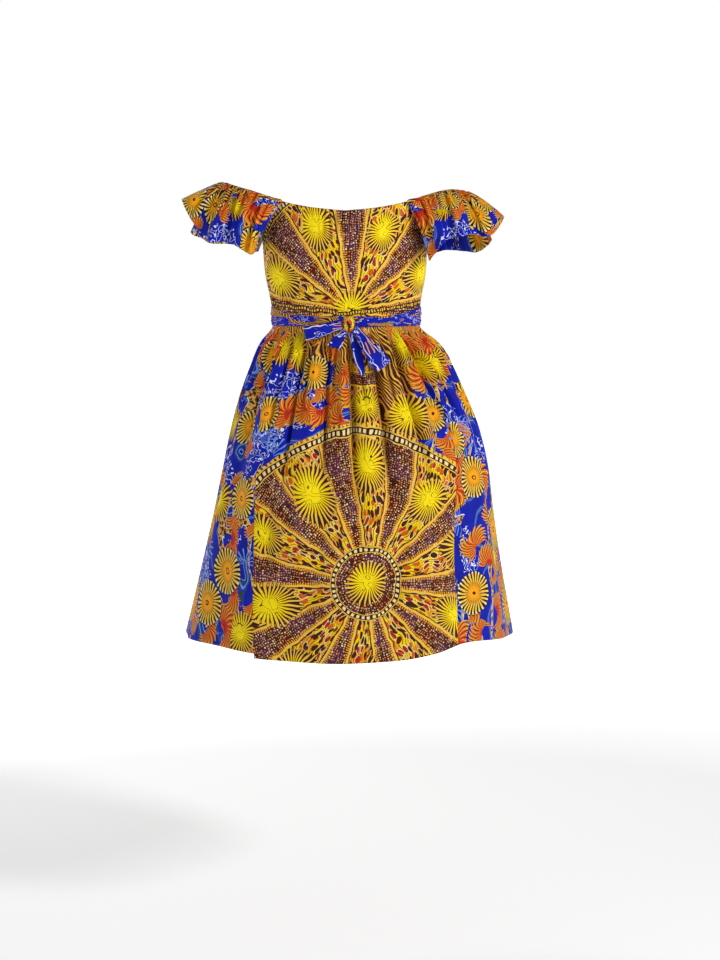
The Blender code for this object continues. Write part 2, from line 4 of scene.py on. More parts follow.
import bpy
import numpy as np
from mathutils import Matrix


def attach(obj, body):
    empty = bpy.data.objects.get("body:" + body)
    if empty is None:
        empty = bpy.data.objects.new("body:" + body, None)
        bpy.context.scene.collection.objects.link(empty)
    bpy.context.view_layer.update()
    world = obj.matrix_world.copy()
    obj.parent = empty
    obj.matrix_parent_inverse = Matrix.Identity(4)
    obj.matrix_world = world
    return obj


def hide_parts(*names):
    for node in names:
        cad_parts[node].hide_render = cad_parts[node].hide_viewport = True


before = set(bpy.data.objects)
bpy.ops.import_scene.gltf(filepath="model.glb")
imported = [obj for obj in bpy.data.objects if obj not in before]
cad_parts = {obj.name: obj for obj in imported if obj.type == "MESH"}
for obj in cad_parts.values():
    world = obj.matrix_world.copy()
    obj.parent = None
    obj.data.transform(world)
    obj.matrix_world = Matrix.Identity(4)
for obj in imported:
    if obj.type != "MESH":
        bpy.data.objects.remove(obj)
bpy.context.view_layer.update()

# Cloth
WALL = 0.0012
SHELL = 0.0009
SEAM_GAP = 0.0003
SKIRT_SEAM_GAP = 0.0004
COLUMN_STEP = 0.0019
ROW_STEP = 0.0048
BODICE_ROW_STEP = 0.0028
CASING = 0.011
CASING_LIFT = 0.0007
CREASE_STRENGTH = 2.1
FOLD_HIDING = 0.8
GATHERED_DROP = 0.065
GATHERED_MORE = 0.42
GATHERED_END = 0.33
THREAD_PITCH = 0.0007
# Metres of cloth a degree round the body, where the number of columns is worked out
HEM_DEGREE = 0.0050
WAIST_DEGREE = 0.0030
BODICE_DEGREE = 0.0024

# Sewing
STITCH_PITCH = 0.0038
STITCH_LENGTH = 0.0028
STITCH_HALF = 0.00028
STITCH_RISE = 0.00012
HEM_STITCHES = 0.015
HEM_COLUMNS = 240
HEM_TRIM = 0.10
TURN_UP = 0.018
TURN_UP_FOLD = 0.0008
TURN_UP_INSIDE = 0.0012
TURN_UP_WALL = 0.0006


def rows_of(kind, *rows):
    return tuple(kind(*row) for row in rows)


# Outline of the dress by height: half widths at the two sides, half depths at back and front
Ring = namedtuple("Ring", "height left right back front")
RINGS = rows_of(
    Ring,
    (0.230, 0.1560, 0.1510, 0.1060, 0.1080), (0.173, 0.1555, 0.1505, 0.1070, 0.1290),
    (0.121, 0.1530, 0.1500, 0.1060, 0.1360), (0.078, 0.1490, 0.1470, 0.1030, 0.1270),
    (0.041, 0.1410, 0.1400, 0.1000, 0.1130), (0.015, 0.1365, 0.1370, 0.0985, 0.1040),
    (-0.014, 0.1365, 0.1370, 0.0990, 0.1030), (-0.024, 0.1400, 0.1430, 0.1030, 0.1070),
    (-0.038, 0.1510, 0.1600, 0.1120, 0.1160), (-0.060, 0.1620, 0.1790, 0.1240, 0.1280),
    (-0.090, 0.1740, 0.1950, 0.1380, 0.1410), (-0.140, 0.1930, 0.2190, 0.1580, 0.1580),
    (-0.200, 0.2100, 0.2440, 0.1780, 0.1760), (-0.270, 0.2270, 0.2610, 0.1980, 0.1940),
    (-0.350, 0.2460, 0.2720, 0.2190, 0.2130), (-0.440, 0.2670, 0.2860, 0.2400, 0.2330),
    (-0.520, 0.2860, 0.3000, 0.2580, 0.2500), (-0.620, 0.3110, 0.3180, 0.2770, 0.2690),
)

# Waist seam and bodice
SEAM_SIDE = 0.006
SEAM_BACK = -0.002
SEAM_FRONT = 0.002
CORNER_BACK = 47.0
CORNER_FRONT = 133.0
UNDERARM = 90.0
SIDE_DEPTH = 0.103
Edge = namedtuple("Edge", "bearing height")
TOP_EDGE = rows_of(
    Edge,
    (0, 0.198), (20, 0.203), (36, 0.2095), (CORNER_BACK, 0.2150), (60, 0.186), (75, 0.163),
    (UNDERARM, 0.156), (105, 0.161), (120, 0.180), (CORNER_FRONT, 0.206), (150, 0.198), (180, 0.190),
)
NECKLINE_BACK = TOP_EDGE[:4]
ARMHOLE = TOP_EDGE[3:10]
NECKLINE_FRONT = TOP_EDGE[9:]
PUCKER_ZONE = 17.0
PUCKERS = 8
PUCKER_DEPTH = 0.0016
PUCKER_RUN = 0.45
PUCKER_MORE = 0.0011
BODICE_LENGTH = 0.20
BODICE_RIPPLE = 0.00055
ELASTIC_RIPPLE = 0.00045

# Skirt
SKIRT_RUN = 0.58
HEM_LEVEL = -0.59
SMALL_GATHER = 0.0010
HEM = rows_of(
    Edge,
    (-180, -0.592), (-120, -0.588), (-90, -0.591), (-65, -0.581), (-44, -0.576), (-30, -0.587),
    (-18, -0.595), (0, -0.597), (18, -0.597), (32, -0.595), (60, -0.585), (90, -0.591), (120, -0.588),
    (180, -0.592),
)
HEM_STEP = 0.008
HEM_STEP_REACH = 30.0
GATHERS = 36
GATHER_DEPTH = 0.0022
GATHER_TOP = 0.030
GATHER_END = 0.200
FOLD_START = 0.019
Seam = namedtuple("Seam", "waist hem")
SEAM_BACK_LEFT = Seam(55.0, 32.0)
SEAM_BACK_RIGHT = Seam(-57.0, -41.0)
SEAM_FRONT_LEFT = Seam(128.0, 140.0)
SEAM_FRONT_RIGHT = Seam(-128.0, -140.0)
Fold = namedtuple("Fold", "bearing width depth length")
FOLDS = rows_of(
    Fold,
    (-172, 6, 0.006, 0.62), (-162, 5, -0.008, 0.34), (-151, 6, 0.005, 0.50), (-141, 5, -0.008, 0.62),
    (-130, 6, 0.005, 0.36), (-120, 5, -0.008, 0.44), (-109, 6, 0.006, 0.62), (-98, 5, -0.005, 0.32),
    (-88, 6, 0.004, 0.50), (-78, 5, -0.008, 0.46), (-68, 6, 0.005, 0.62), (-59, 4, -0.005, 0.40),
    (-51, 5, 0.005, 0.46), (-44, 4, -0.008, 0.34), (-37, 4, 0.006, 0.40), (-30, 4, -0.010, 0.42),
    (-23, 4, 0.004, 0.30), (-17, 3, -0.010, 0.40), (-10, 4, 0.006, 0.62), (-3.5, 2.6, -0.008, 0.40),
    (2, 3, 0.003, 0.36), (10, 4, -0.010, 0.38), (20, 5, 0.006, 0.50), (29, 4, -0.008, 0.30),
    (38, 4, -0.005, 0.28), (47, 5, 0.006, 0.62), (60, 5, -0.008, 0.42), (70, 5, 0.005, 0.50),
    (81, 5, -0.008, 0.62), (92, 6, 0.005, 0.40), (102, 5, -0.008, 0.36), (112, 6, 0.006, 0.62),
    (123, 5, -0.005, 0.46), (134, 6, 0.005, 0.34), (145, 5, -0.008, 0.50), (156, 6, 0.005, 0.62),
    (168, 5, -0.008, 0.40),
)
BROAD_WAVES = 11
BROAD_DEPTH = 0.004

# Sleeves
Flounce = namedtuple("Flounce", "edge_x edge_y edge_z hem_x hem_y hem_z")
Join = namedtuple("Join", "bearing hem_x hem_y hem_z")
LEFT_SLEEVE = (
    rows_of(
        Flounce,
        (0.220, 0.000, 0.2490, 0.302, 0.008, 0.221), (0.218, 0.018, 0.2495, 0.285, 0.048, 0.186),
        (0.212, 0.033, 0.2470, 0.259, 0.064, 0.152), (0.203, 0.045, 0.2440, 0.243, 0.106, 0.141),
        (0.190, 0.054, 0.2400, 0.214, 0.088, 0.142), (0.172, 0.062, 0.2350, 0.196, 0.119, 0.134),
        (0.151, 0.069, 0.2280, 0.182, 0.093, 0.124), (0.131, 0.073, 0.2215, 0.171, 0.103, 0.119),
    )
    + rows_of(
        Join,
        (CORNER_BACK, 0.1640, 0.076, 0.124), (60, 0.1630, 0.049, 0.128), (75, 0.1650, 0.024, 0.131),
        (UNDERARM, 0.1665, 0.000, 0.133), (105, 0.1660, -0.026, 0.131), (120, 0.1650, -0.054, 0.128),
        (CORNER_FRONT, 0.1660, -0.084, 0.125),
    )
    + rows_of(
        Flounce,
        (0.131, -0.085, 0.2150, 0.173, -0.112, 0.123), (0.151, -0.079, 0.2240, 0.184, -0.097, 0.128),
        (0.172, -0.070, 0.2320, 0.201, -0.124, 0.134), (0.190, -0.060, 0.2385, 0.224, -0.094, 0.138),
        (0.203, -0.048, 0.2435, 0.258, -0.106, 0.139), (0.210, -0.038, 0.2460, 0.271, -0.076, 0.148),
        (0.216, -0.026, 0.2480, 0.291, -0.056, 0.159), (0.219, -0.013, 0.2488, 0.273, -0.026, 0.184),
    )
)
RIGHT_SLEEVE = (
    rows_of(
        Flounce,
        (0.216, 0.000, 0.2330, 0.2915, 0.014, 0.189), (0.214, 0.018, 0.2340, 0.275, 0.062, 0.163),
        (0.208, 0.033, 0.2360, 0.257, 0.084, 0.151), (0.200, 0.045, 0.2370, 0.234, 0.072, 0.156),
        (0.188, 0.054, 0.2365, 0.214, 0.110, 0.153), (0.171, 0.062, 0.2335, 0.189, 0.094, 0.147),
        (0.151, 0.069, 0.2280, 0.174, 0.108, 0.137), (0.131, 0.073, 0.2215, 0.161, 0.094, 0.120),
    )
    + rows_of(
        Join,
        (CORNER_BACK, 0.1520, 0.084, 0.108), (60, 0.1540, 0.056, 0.113), (75, 0.1590, 0.026, 0.122),
        (UNDERARM, 0.1620, 0.000, 0.128), (105, 0.1620, -0.026, 0.128), (120, 0.1620, -0.054, 0.126),
        (CORNER_FRONT, 0.1640, -0.084, 0.124),
    )
    + rows_of(
        Flounce,
        (0.131, -0.085, 0.2150, 0.172, -0.110, 0.122), (0.151, -0.079, 0.2240, 0.186, -0.096, 0.126),
        (0.171, -0.070, 0.2310, 0.203, -0.121, 0.126), (0.188, -0.060, 0.2350, 0.226, -0.092, 0.124),
        (0.200, -0.048, 0.2360, 0.247, -0.106, 0.122), (0.208, -0.036, 0.2350, 0.262, -0.072, 0.131),
        (0.213, -0.024, 0.2340, 0.272, -0.046, 0.145), (0.215, -0.012, 0.2332, 0.266, -0.022, 0.164),
    )
)
FLOUNCE_LIFT = 0.62
FLOUNCE_FALL = 0.30
JOIN_DROP = 0.0006
SLEEVE_WAVE = 0.0032
SLEEVE_FINE_WAVE = 0.0016
SLEEVE_CLOTH = 0.135
SLEEVE_STITCH_ROWS = 3

# Sash and bow
SASH_END = 87.0
SASH_CLEAR = 0.0007
SASH_THICKNESS = 0.0028
SASH_SHELL = 0.0012
SASH_CREASE = 0.0007
SASH_FINE_CREASE = 0.00045
SASH_FLAT_LENGTH = 0.22
SASH_FLAT_HALF = 0.032
SASH_FLAT_START = 0.3
SASH_HALF_SIDE = 0.0170
SASH_HALF_KNOT = 0.0095
SASH_MIDDLE_SIDE = 0.0055
SASH_MIDDLE_KNOT = -0.0020
KNOT_PLACE = (-0.0055, 0.1078, -0.0060)
KNOT_HALF = (0.0125, 0.0080, 0.0140)
KNOT_REACH = 0.0088
BOW_LIFT = 0.0074
LOOP_ROOT = 0.0013
LOOP_OPENING = 1.4
LOOP_WIDENING = 1.3
Strap = namedtuple("Strap", "name x z slope length root end lift rise")
LOOPS = (
    Strap("sash_loop_left", 0.0075, -0.0095, 12, 0.068, 0.013, 0.024, 0.0010, 0.0080),
    Strap("sash_loop_right", -0.0172, -0.0128, 127, 0.086, 0.013, 0.031, 0.0044, 0.0080),
)
TAILS = (
    Strap("sash_tail_left", 0.0002, -0.0178, 52, 0.036, 0.009, 0.021, 0.0048, 0.0140),
    Strap("sash_tail_right", -0.0088, -0.0208, 112, 0.074, 0.010, 0.024, 0.0007, 0.0010),
)

# A crease runs from one bearing and drop below the waist to another. In the bodice's
# creases a height stands in place of the drop.
Crease = namedtuple("Crease", "bearing drop bearing_end drop_end width depth")
SKIRT_CREASES = rows_of(
    Crease,
    (-52, 0.02, -66, 0.22, 0.0045, -0.0060), (-47, 0.03, -60, 0.25, 0.0055, 0.0036),
    (-42, 0.02, -54, 0.26, 0.0040, -0.0062), (-37, 0.04, -47, 0.20, 0.0050, 0.0030),
    (-31, 0.02, -35, 0.30, 0.0040, -0.0070), (-26, 0.03, -29, 0.17, 0.0040, 0.0026),
    (-22, 0.02, -25, 0.19, 0.0034, -0.0050), (-17, 0.02, -18, 0.33, 0.0042, -0.0074),
    (-12, 0.03, -12, 0.20, 0.0045, 0.0030), (-8, 0.02, -9, 0.16, 0.0030, -0.0040),
    (-3, 0.02, -4, 0.34, 0.0042, -0.0076), (2, 0.03, 2, 0.22, 0.0040, 0.0030),
    (6, 0.02, 7, 0.15, 0.0030, -0.0042), (11, 0.02, 11, 0.30, 0.0045, -0.0070),
    (17, 0.03, 18, 0.22, 0.0050, 0.0030), (22, 0.02, 23, 0.18, 0.0034, -0.0052),
    (29, 0.02, 30, 0.31, 0.0042, -0.0070), (35, 0.03, 38, 0.20, 0.0050, 0.0030),
    (40, 0.02, 43, 0.24, 0.0038, -0.0058), (47, 0.03, 54, 0.18, 0.0045, -0.0040),
    (55, 0.03, 63, 0.28, 0.0050, -0.0060), (64, 0.03, 72, 0.20, 0.0045, -0.0042),
    (77, 0.03, 84, 0.32, 0.0060, -0.0056), (-66, 0.03, -75, 0.30, 0.0060, -0.0058),
    (-77, 0.04, -88, 0.24, 0.0050, -0.0044), (-24, 0.32, -15, 0.54, 0.0120, -0.0036),
    (8, 0.34, 17, 0.56, 0.0130, -0.0034), (36, 0.30, 30, 0.52, 0.0110, -0.0030),
    (-52, 0.30, -44, 0.50, 0.0120, -0.0034), (92, 0.03, 97, 0.22, 0.0050, -0.0050),
    (104, 0.02, 108, 0.30, 0.0050, -0.0060), (118, 0.03, 121, 0.20, 0.0045, -0.0050),
    (131, 0.02, 133, 0.28, 0.0050, -0.0062), (145, 0.03, 147, 0.22, 0.0045, -0.0054),
    (157, 0.02, 156, 0.32, 0.0050, -0.0062), (169, 0.03, 169, 0.20, 0.0040, -0.0050),
    (180, 0.02, 179, 0.30, 0.0045, -0.0064), (192, 0.03, 194, 0.22, 0.0045, -0.0050),
    (204, 0.02, 205, 0.31, 0.0050, -0.0060), (217, 0.03, 215, 0.21, 0.0045, -0.0052),
    (230, 0.02, 227, 0.29, 0.0050, -0.0060), (244, 0.03, 240, 0.22, 0.0045, -0.0050),
    (257, 0.03, 254, 0.30, 0.0055, -0.0056), (160, 0.34, 168, 0.54, 0.0130, -0.0034),
    (206, 0.33, 198, 0.52, 0.0120, -0.0032),
)
BODICE_CREASES = rows_of(
    Crease,
    (66, 0.152, 28, 0.104, 0.0060, -0.0022), (70, 0.128, 38, 0.078, 0.0055, -0.0022),
    (-66, 0.152, -30, 0.110, 0.0060, -0.0022), (-70, 0.130, -36, 0.076, 0.0055, -0.0022),
    (14, 0.030, 19, 0.085, 0.0036, -0.0018), (-16, 0.030, -20, 0.080, 0.0036, -0.0018),
    (34, 0.028, 38, 0.078, 0.0040, -0.0018), (-36, 0.028, -40, 0.072, 0.0040, -0.0018),
    (52, 0.030, 56, 0.075, 0.0045, -0.0016), (-54, 0.030, -57, 0.075, 0.0045, -0.0016),
    (104, 0.140, 140, 0.120, 0.0070, -0.0020), (256, 0.140, 220, 0.120, 0.0070, -0.0020),
    (150, 0.030, 154, 0.080, 0.0045, -0.0018), (208, 0.030, 204, 0.080, 0.0045, -0.0018),
)
CREASE_DEGREE = 0.0036

# Dyes, as they show in plain light
DYES = {
    "blue": (0x06, 0x1E, 0xC6),
    "deep blue": (0x04, 0x10, 0x82),
    "sky": (0x74, 0x9A, 0xE8),
    "lemon": (0xFF, 0xE2, 0x02),
    "yellow": (0xFC, 0xD0, 0x04),
    "straw": (0xF0, 0xC2, 0x44),
    "gold": (0xF0, 0xA0, 0x12),
    "amber": (0xF8, 0xA8, 0x0A),
    "cream": (0xF8, 0xDE, 0xA0),
    "tan": (0xD8, 0x9A, 0x54),
    "maroon": (0x5A, 0x10, 0x06),
    "brown": (0x40, 0x18, 0x0A),
    "purple": (0x56, 0x22, 0x3C),
    "orange": (0xE2, 0x54, 0x10),
    "red": (0xB8, 0x1A, 0x0C),
    "white": (0xE4, 0xEA, 0xFC),
    "olive": (0x24, 0x4C, 0x44),
    "ink": (0x16, 0x08, 0x06),
    # The floor's two colours are the light it gives off, not dyes: a dim grey glow near the middle and a
    # white glow further off
    "floor": (0x92, 0x92, 0x92),
    "far floor glow": (0xFF, 0xFF, 0xFF),
}
DYE_STRENGTH = 0.82

# Output of a texture coordinate node that holds places on the object
OBJECT_PLACE = 3

# Sizes in the prints
CELL_JITTER = 0.85
SPOT_PITCH = 0.0076
FRINGE_PITCH = 0.0042
FLAME_LENGTH = 0.0175
FLAME_WIDTH = 0.0070
FEATHER_PITCH = 0.0075

# Floor, lamps and camera
LAMP_AIM = -0.15
FLOOR_LEVEL = -1.15
# Reach from the middle within which the floor's painted glow stays dim, and the distance over which it
# brightens to white
FLOOR_DIM_GLOW = 1.4
FLOOR_FADE = 2.4
CAMERA_PLACE = (-0.026, 4.0, 0.14)
CAMERA_TILT = 6.3
FOCAL_PIXELS = 2148
PHOTO_HEIGHT = 960
SENSOR_WIDTH = 36


def dye(name):
    channels = [c / 255 for c in DYES[name]]
    plain = [c / 12.92 if c < 0.04045 else ((c + 0.055) / 1.055) ** 2.4 for c in channels]
    return (*(c * DYE_STRENGTH for c in plain), 1.0)


def smooth(share):
    share = np.clip(share, 0.0, 1.0)
    return share * share * (3 - 2 * share)


def between(first, last, share):
    return first + (last - first) * share


def through(rows, key, column, at):
    """Column of a table where its key reaches at, on a smooth curve through the rows."""
    keys = np.array([getattr(row, key) for row in rows])
    values = np.array([getattr(row, column) for row in rows])
    if keys[0] > keys[-1]:
        keys, values = keys[::-1], values[::-1]
    last = len(keys) - 1
    at = np.clip(at, keys[0], keys[-1])
    low = np.maximum(np.arange(last + 1) - 1, 0)
    high = np.minimum(np.arange(last + 1) + 1, last)
    slopes = (values[high] - values[low]) / (keys[high] - keys[low])
    i = np.clip(np.searchsorted(keys, at, side="right") - 1, 0, last - 1)
    span = keys[i + 1] - keys[i]
    t = (at - keys[i]) / span
    return (
        values[i] * (1 + 2 * t) * (1 - t) ** 2
        + values[i + 1] * t * t * (3 - 2 * t)
        + slopes[i] * span * t * (1 - t) ** 2
        - slopes[i + 1] * span * t * t * (1 - t)
    )


def outline(bearing, height):
    """Points of the plain outline, with no folds."""
    bearing, height = np.broadcast_arrays(bearing, height)
    turn = np.radians(bearing)
    left, right = (through(RINGS, "height", side, height) for side in ("left", "right"))
    back, front = (through(RINGS, "height", side, height) for side in ("back", "front"))
    x = np.where(np.sin(turn) > 0, left, right) * np.sin(turn)
    y = np.where(np.cos(turn) > 0, back, front) * np.cos(turn)
    return np.stack([x, y, height], axis=-1)


def unit(vectors):
    return vectors / np.linalg.norm(vectors, axis=-1, keepdims=True)


def outward(bearing, height):
    """Level direction that points out of the plain outline."""
    run = outline(bearing + 1, height) - outline(bearing - 1, height)
    return unit(np.stack([-run[..., 1], run[..., 0], np.zeros(run.shape[:-1])], axis=-1))


def lifted(bearing, height, lift):
    """Points that stand out from the plain outline."""
    return outline(bearing, height) + outward(bearing, height) * lift[..., None]


def ripples(turn, *waves):
    """Sum of waves, each given by its count, phase and share."""
    return sum(share * np.sin(turn * count + phase) for count, phase, share in waves)


def length_along(points):
    """Length of a line of points up to each of them."""
    steps = np.linalg.norm(np.diff(points, axis=0), axis=-1)
    return np.concatenate([[0], np.cumsum(steps)])


def seam_height(bearing):
    level = np.cos(np.radians(bearing))
    target = np.where(level > 0, SEAM_BACK, SEAM_FRONT)
    return between(SEAM_SIDE, target, level * level)


def top_height(bearing):
    bearing = np.abs((np.asarray(bearing, float) + 180) % 360 - 180)
    back = through(NECKLINE_BACK, "bearing", "height", bearing)
    arm = through(ARMHOLE, "bearing", "height", bearing)
    front = through(NECKLINE_FRONT, "bearing", "height", bearing)
    return np.where(bearing <= CORNER_BACK, back, np.where(bearing <= CORNER_FRONT, arm, front))


def crease_height(creases, bearing, down):
    """How far the creases stand out, each fading at its ends."""
    total = np.zeros(np.broadcast(bearing, down).shape)
    for crease in creases:
        turn = (crease.bearing_end - crease.bearing) * CREASE_DEGREE
        fall = crease.drop_end - crease.drop
        reach = (turn * turn + fall * fall) ** 0.5
        x = ((bearing - crease.bearing + 180) % 360 - 180) * CREASE_DEGREE
        y = down - crease.drop
        way = (x * turn + y * fall) / reach
        aside = (y * turn - x * fall) / reach
        ends = smooth(way / reach * 4 + 0.2) * smooth((1 - way / reach) * 2.2 + 0.1)
        total += crease.depth * np.exp(-((aside / crease.width) ** 2)) * ends
    return total


def bodice_plain(bearing, share):
    """Outer face of the bodice as its solid has it, share 0 at the waist and 1 at the upper edge."""
    low = seam_height(bearing) + SEAM_GAP / 2
    height = between(low, top_height(bearing), share)
    fade = smooth((PUCKER_ZONE - np.abs(bearing)) / 6) * smooth((share - 1 + PUCKER_RUN) / PUCKER_RUN)
    wave = np.cos(pi * PUCKERS * (bearing / PUCKER_ZONE))
    return lifted(bearing, height, PUCKER_DEPTH * fade * wave)


def bodice_surface(bearing, share):
    """Outer face of the bodice, with creases, casing, puckers and small gathers above the sash."""
    points = bodice_plain(bearing, share)
    height = points[..., 2]
    turn = np.radians(bearing)
    waist = BODICE_RIPPLE * ripples(turn, (83, 1.1, 1), (131, 0.3, 0.7), (59, 0, 0.5))
    waist = waist * smooth((0.068 - height) / 0.040) * smooth((height - 0.004) / 0.012)
    below = (1 - share) * (top_height(bearing) - seam_height(bearing))
    elastic = ELASTIC_RIPPLE * ripples(turn, (101, 0.4, 1), (149, 2.0, 0.8)) * smooth(1 - below / 0.034)
    casing = CASING_LIFT * smooth(below / 0.003) * smooth((CASING - below) / 0.003)
    puckers = PUCKER_MORE * np.cos(pi * PUCKERS * (bearing / PUCKER_ZONE))
    puckers = puckers * smooth((24 - np.abs(bearing)) / 8) * smooth((0.075 - below) / 0.05)
    lift = crease_height(BODICE_CREASES, bearing, height) * smooth((1 - share) / 0.06)
    side = np.minimum(np.abs(np.abs(bearing) - 90), np.abs(np.abs(bearing) - 270))
    lift = (lift + waist + elastic + casing + puckers) * smooth(side / 4)
    return points + outward(bearing, height) * lift[..., None]


def fold_height(bearing, drop):
    """How far the folds and gathers of the skirt stand out from the plain outline."""
    turn = np.radians(bearing)
    rising = smooth((drop - FOLD_START) / (GATHER_TOP - FOLD_START))
    gathers = GATHER_DEPTH * np.cos(turn * GATHERS) * rising * smooth((GATHER_END - drop) / 0.15)
    folds = np.zeros(np.broadcast(bearing, drop).shape)
    for fold in FOLDS:
        away = (bearing - fold.bearing + 180) % 360 - 180
        end = smooth((fold.length - drop) / 0.22)
        near = np.abs(away) < fold.width * 3
        folds += np.where(near, fold.depth * np.exp(-((away / fold.width) ** 2)) * end, 0)
    broad = BROAD_DEPTH * np.sin(turn * BROAD_WAVES + 1.1) * smooth((drop - 0.2) / 0.35)
    return gathers + folds * smooth((drop - FOLD_START) / 0.040) + broad


def small_gathers(bearing, drop):
    """Narrow uneven gathers between the larger folds, under the sash."""
    waves = ripples(np.radians(bearing), (71, 0.6, 1), (113, 2.1, 0.8), (47, 4.0, 0.6))
    return SMALL_GATHER * waves * smooth((drop - 0.018) / 0.015) * smooth((0.20 - drop) / 0.17)


def skirt_surface(bearing, drop):
    """Outer face of the skirt at a drop below the waist seam."""
    height = seam_height(bearing) - SEAM_GAP / 2 - drop
    creases = crease_height(SKIRT_CREASES, bearing, drop) * smooth((drop - FOLD_START) / 0.03)
    lift = fold_height(bearing, drop) + small_gathers(bearing, drop) + creases * CREASE_STRENGTH
    return lifted(bearing, height, lift)


def skirt_end(bearing, step):
    """Drop to the hem, with the step beside the back panel's left seam."""
    past = np.maximum(bearing - SEAM_BACK_LEFT.hem, 0)
    lift = HEM_STEP * smooth(1 - past / HEM_STEP_REACH) if step else 0.0
    hem = through(HEM, "bearing", "height", (bearing + 180) % 360 - 180)
    return seam_height(bearing) - hem - lift


def seam_bearing(seam, share, step):
    rough = between(seam.waist, seam.hem, share)
    shorter = skirt_end(rough, step) / skirt_end(rough, False)
    return between(seam.waist, seam.hem, share * shorter)


def run_round(bearing, height):
    """Length round the plain outline from the middle of the back."""
    turns = np.linspace(0, 1, 33)
    bearing, height = np.broadcast_arrays(bearing, height)
    path = outline(bearing[..., None] * turns, height[..., None])
    steps = np.linalg.norm(np.diff(path, axis=-2), axis=-1)
    return np.sign(bearing) * steps.sum(axis=-1)


def run_down(drop):
    """Length down the middle of the back from the waist seam."""
    levels = np.linspace(0, 0.62, 125)
    return np.interp(drop, levels, length_along(outline(0.0, SEAM_BACK - levels)))


def fullness(drop):
    """How much wider the flat cloth is than the place it is gathered into."""
    return 1 + GATHERED_MORE * (1 - smooth(drop / GATHERED_END))


def mesh_piece(name, corners, faces, material):
    mesh = bpy.data.meshes.new(name)
    mesh.from_pydata(corners, [], faces)
    mesh.materials.append(material)
    piece = bpy.data.objects.new(name, mesh)
    bpy.context.scene.collection.objects.link(piece)
    return piece


def stitches(name, lines, material):
    """Rows of small stitches. Each line holds places on the cloth and the ways out of it."""
    corners, faces = [], []
    for places, outs in lines:
        along = length_along(places)
        starts = np.arange(STITCH_PITCH, along[-1] - STITCH_PITCH, STITCH_PITCH)

        def at(values, share):
            reach = starts + share * STITCH_LENGTH
            return np.stack([np.interp(reach, along, values[:, axis]) for axis in range(3)], axis=-1)

        out = unit(at(outs, 0.5))
        side = np.cross(unit(at(places, 1) - at(places, 0)), out)
        rings = []
        for share in (0.2, 0.8):
            middle = at(places, share) + out * STITCH_RISE
            rings += [middle + way * STITCH_HALF for way in (out, side, -out, -side)]
        first, last = (at(places, share) - out * STITCH_HALF for share in (0, 1))
        stitch = np.stack([first, last, *rings], axis=1)
        start = len(corners)
        corners.extend(stitch.reshape(-1, 3).tolist())
        for base in range(start, start + len(starts) * 10, 10):
            for k in range(4):
                near, next_near = base + 2 + k, base + 2 + (k + 1) % 4
                faces.append((base, next_near, near))
                faces.append((near, next_near, next_near + 4, near + 4))
                faces.append((base + 1, near + 4, next_near + 4))
    piece = mesh_piece(name, corners, faces, material)
    piece.data.shade_smooth()
    return piece


def add_wall(piece, thickness, offset):
    """Gives a sheet its thickness and closes its edges."""
    bpy.ops.object.select_all(action="DESELECT")
    piece.select_set(True)
    bpy.context.view_layer.objects.active = piece
    solidify = piece.modifiers.new("Cloth", "SOLIDIFY")
    solidify.thickness = thickness
    solidify.offset = offset
    bpy.ops.object.modifier_apply(modifier=solidify.name)
    piece.data.shade_smooth()


def sheet_piece(name, points, cut, material, round_about=False, turned=False, offset=-1.0, wall=SHELL):
    """Thin shell over rows of points. Its UV map, in metres, is each point's place on the flat cloth."""
    rows, columns = points.shape[:2]
    across = columns if round_about else columns - 1
    row, column = np.meshgrid(np.arange(rows - 1), np.arange(across), indexing="ij")

    def squares(width, after):
        near, far = row * width, (row + 1) * width
        return np.stack([near + column, near + after, far + after, far + column], axis=-1)

    corners = squares(columns, (column + 1) % columns)
    flat = squares(cut.shape[1], column + 1)
    if turned:
        corners, flat = corners[..., ::-1], flat[..., ::-1]
    piece = mesh_piece(name, points.reshape(-1, 3).tolist(), corners.reshape(-1, 4).tolist(), material)
    layer = piece.data.uv_layers.new(name="Cut")
    layer.data.foreach_set("uv", cut.reshape(-1, 2)[flat.reshape(-1)].astype(np.float32).reshape(-1))
    add_wall(piece, wall, offset)
    return piece


def cloth_run(points, bearing, drop, middle):
    """Length of cloth from the middle round each row, with what the folds and slots take up."""
    plain = outline(bearing, points[..., 2])
    steps, plain_steps = (np.linalg.norm(np.diff(p[..., :2], axis=1), axis=-1) for p in (points, plain))
    hidden = (steps / plain_steps) ** FOLD_HIDING
    run = np.concatenate([np.zeros((len(points), 1)), np.cumsum(plain_steps * hidden, axis=1)], axis=1)
    gathered = np.argmax(drop[:, 0] > GATHERED_DROP)
    run[:gathered] = run[gathered]
    anchor = np.clip(middle, bearing[:, 0], bearing[:, -1])
    start = np.array([np.interp(a, b, r) for a, b, r in zip(anchor, bearing, run)])
    level = points[:, 0, 2]
    from_middle = run_round(anchor, level) - run_round(np.full(level.shape, middle), level)
    return run - start[:, None] + (from_middle * fullness(drop[:, 0]))[:, None]


def skirt_panel(panel):
    """Panel of the skirt between two seams, on the form of its solid."""
    low, high, step = panel.low, panel.high, panel.step
    column = COLUMN_STEP / panel.fineness
    columns = round(abs(high.hem - low.hem) * HEM_DEGREE / column)
    columns = max(columns, round(abs(high.waist - low.waist) * WAIST_DEGREE / column))
    rows = round(SKIRT_RUN / ROW_STEP)
    share = np.linspace(0, 1, rows + 1)[:, None]
    first = seam_bearing(low, share, step)
    last = seam_bearing(high, share, step)
    level = share * HEM_LEVEL
    degree = np.linalg.norm(outline(first + 0.5, level) - outline(first - 0.5, level), axis=-1)
    trim = SKIRT_SEAM_GAP / 2 / degree
    bearing = between(first + trim, last - trim, np.linspace(0, 1, columns + 1)[None, :])
    drop = share * skirt_end(bearing, step)
    points = skirt_surface(bearing, drop)
    cut = np.stack([cloth_run(points, bearing, drop, panel.middle), -run_down(drop)], axis=-1)
    return sheet_piece(panel.node + "_cloth", points, cut, panel.material)


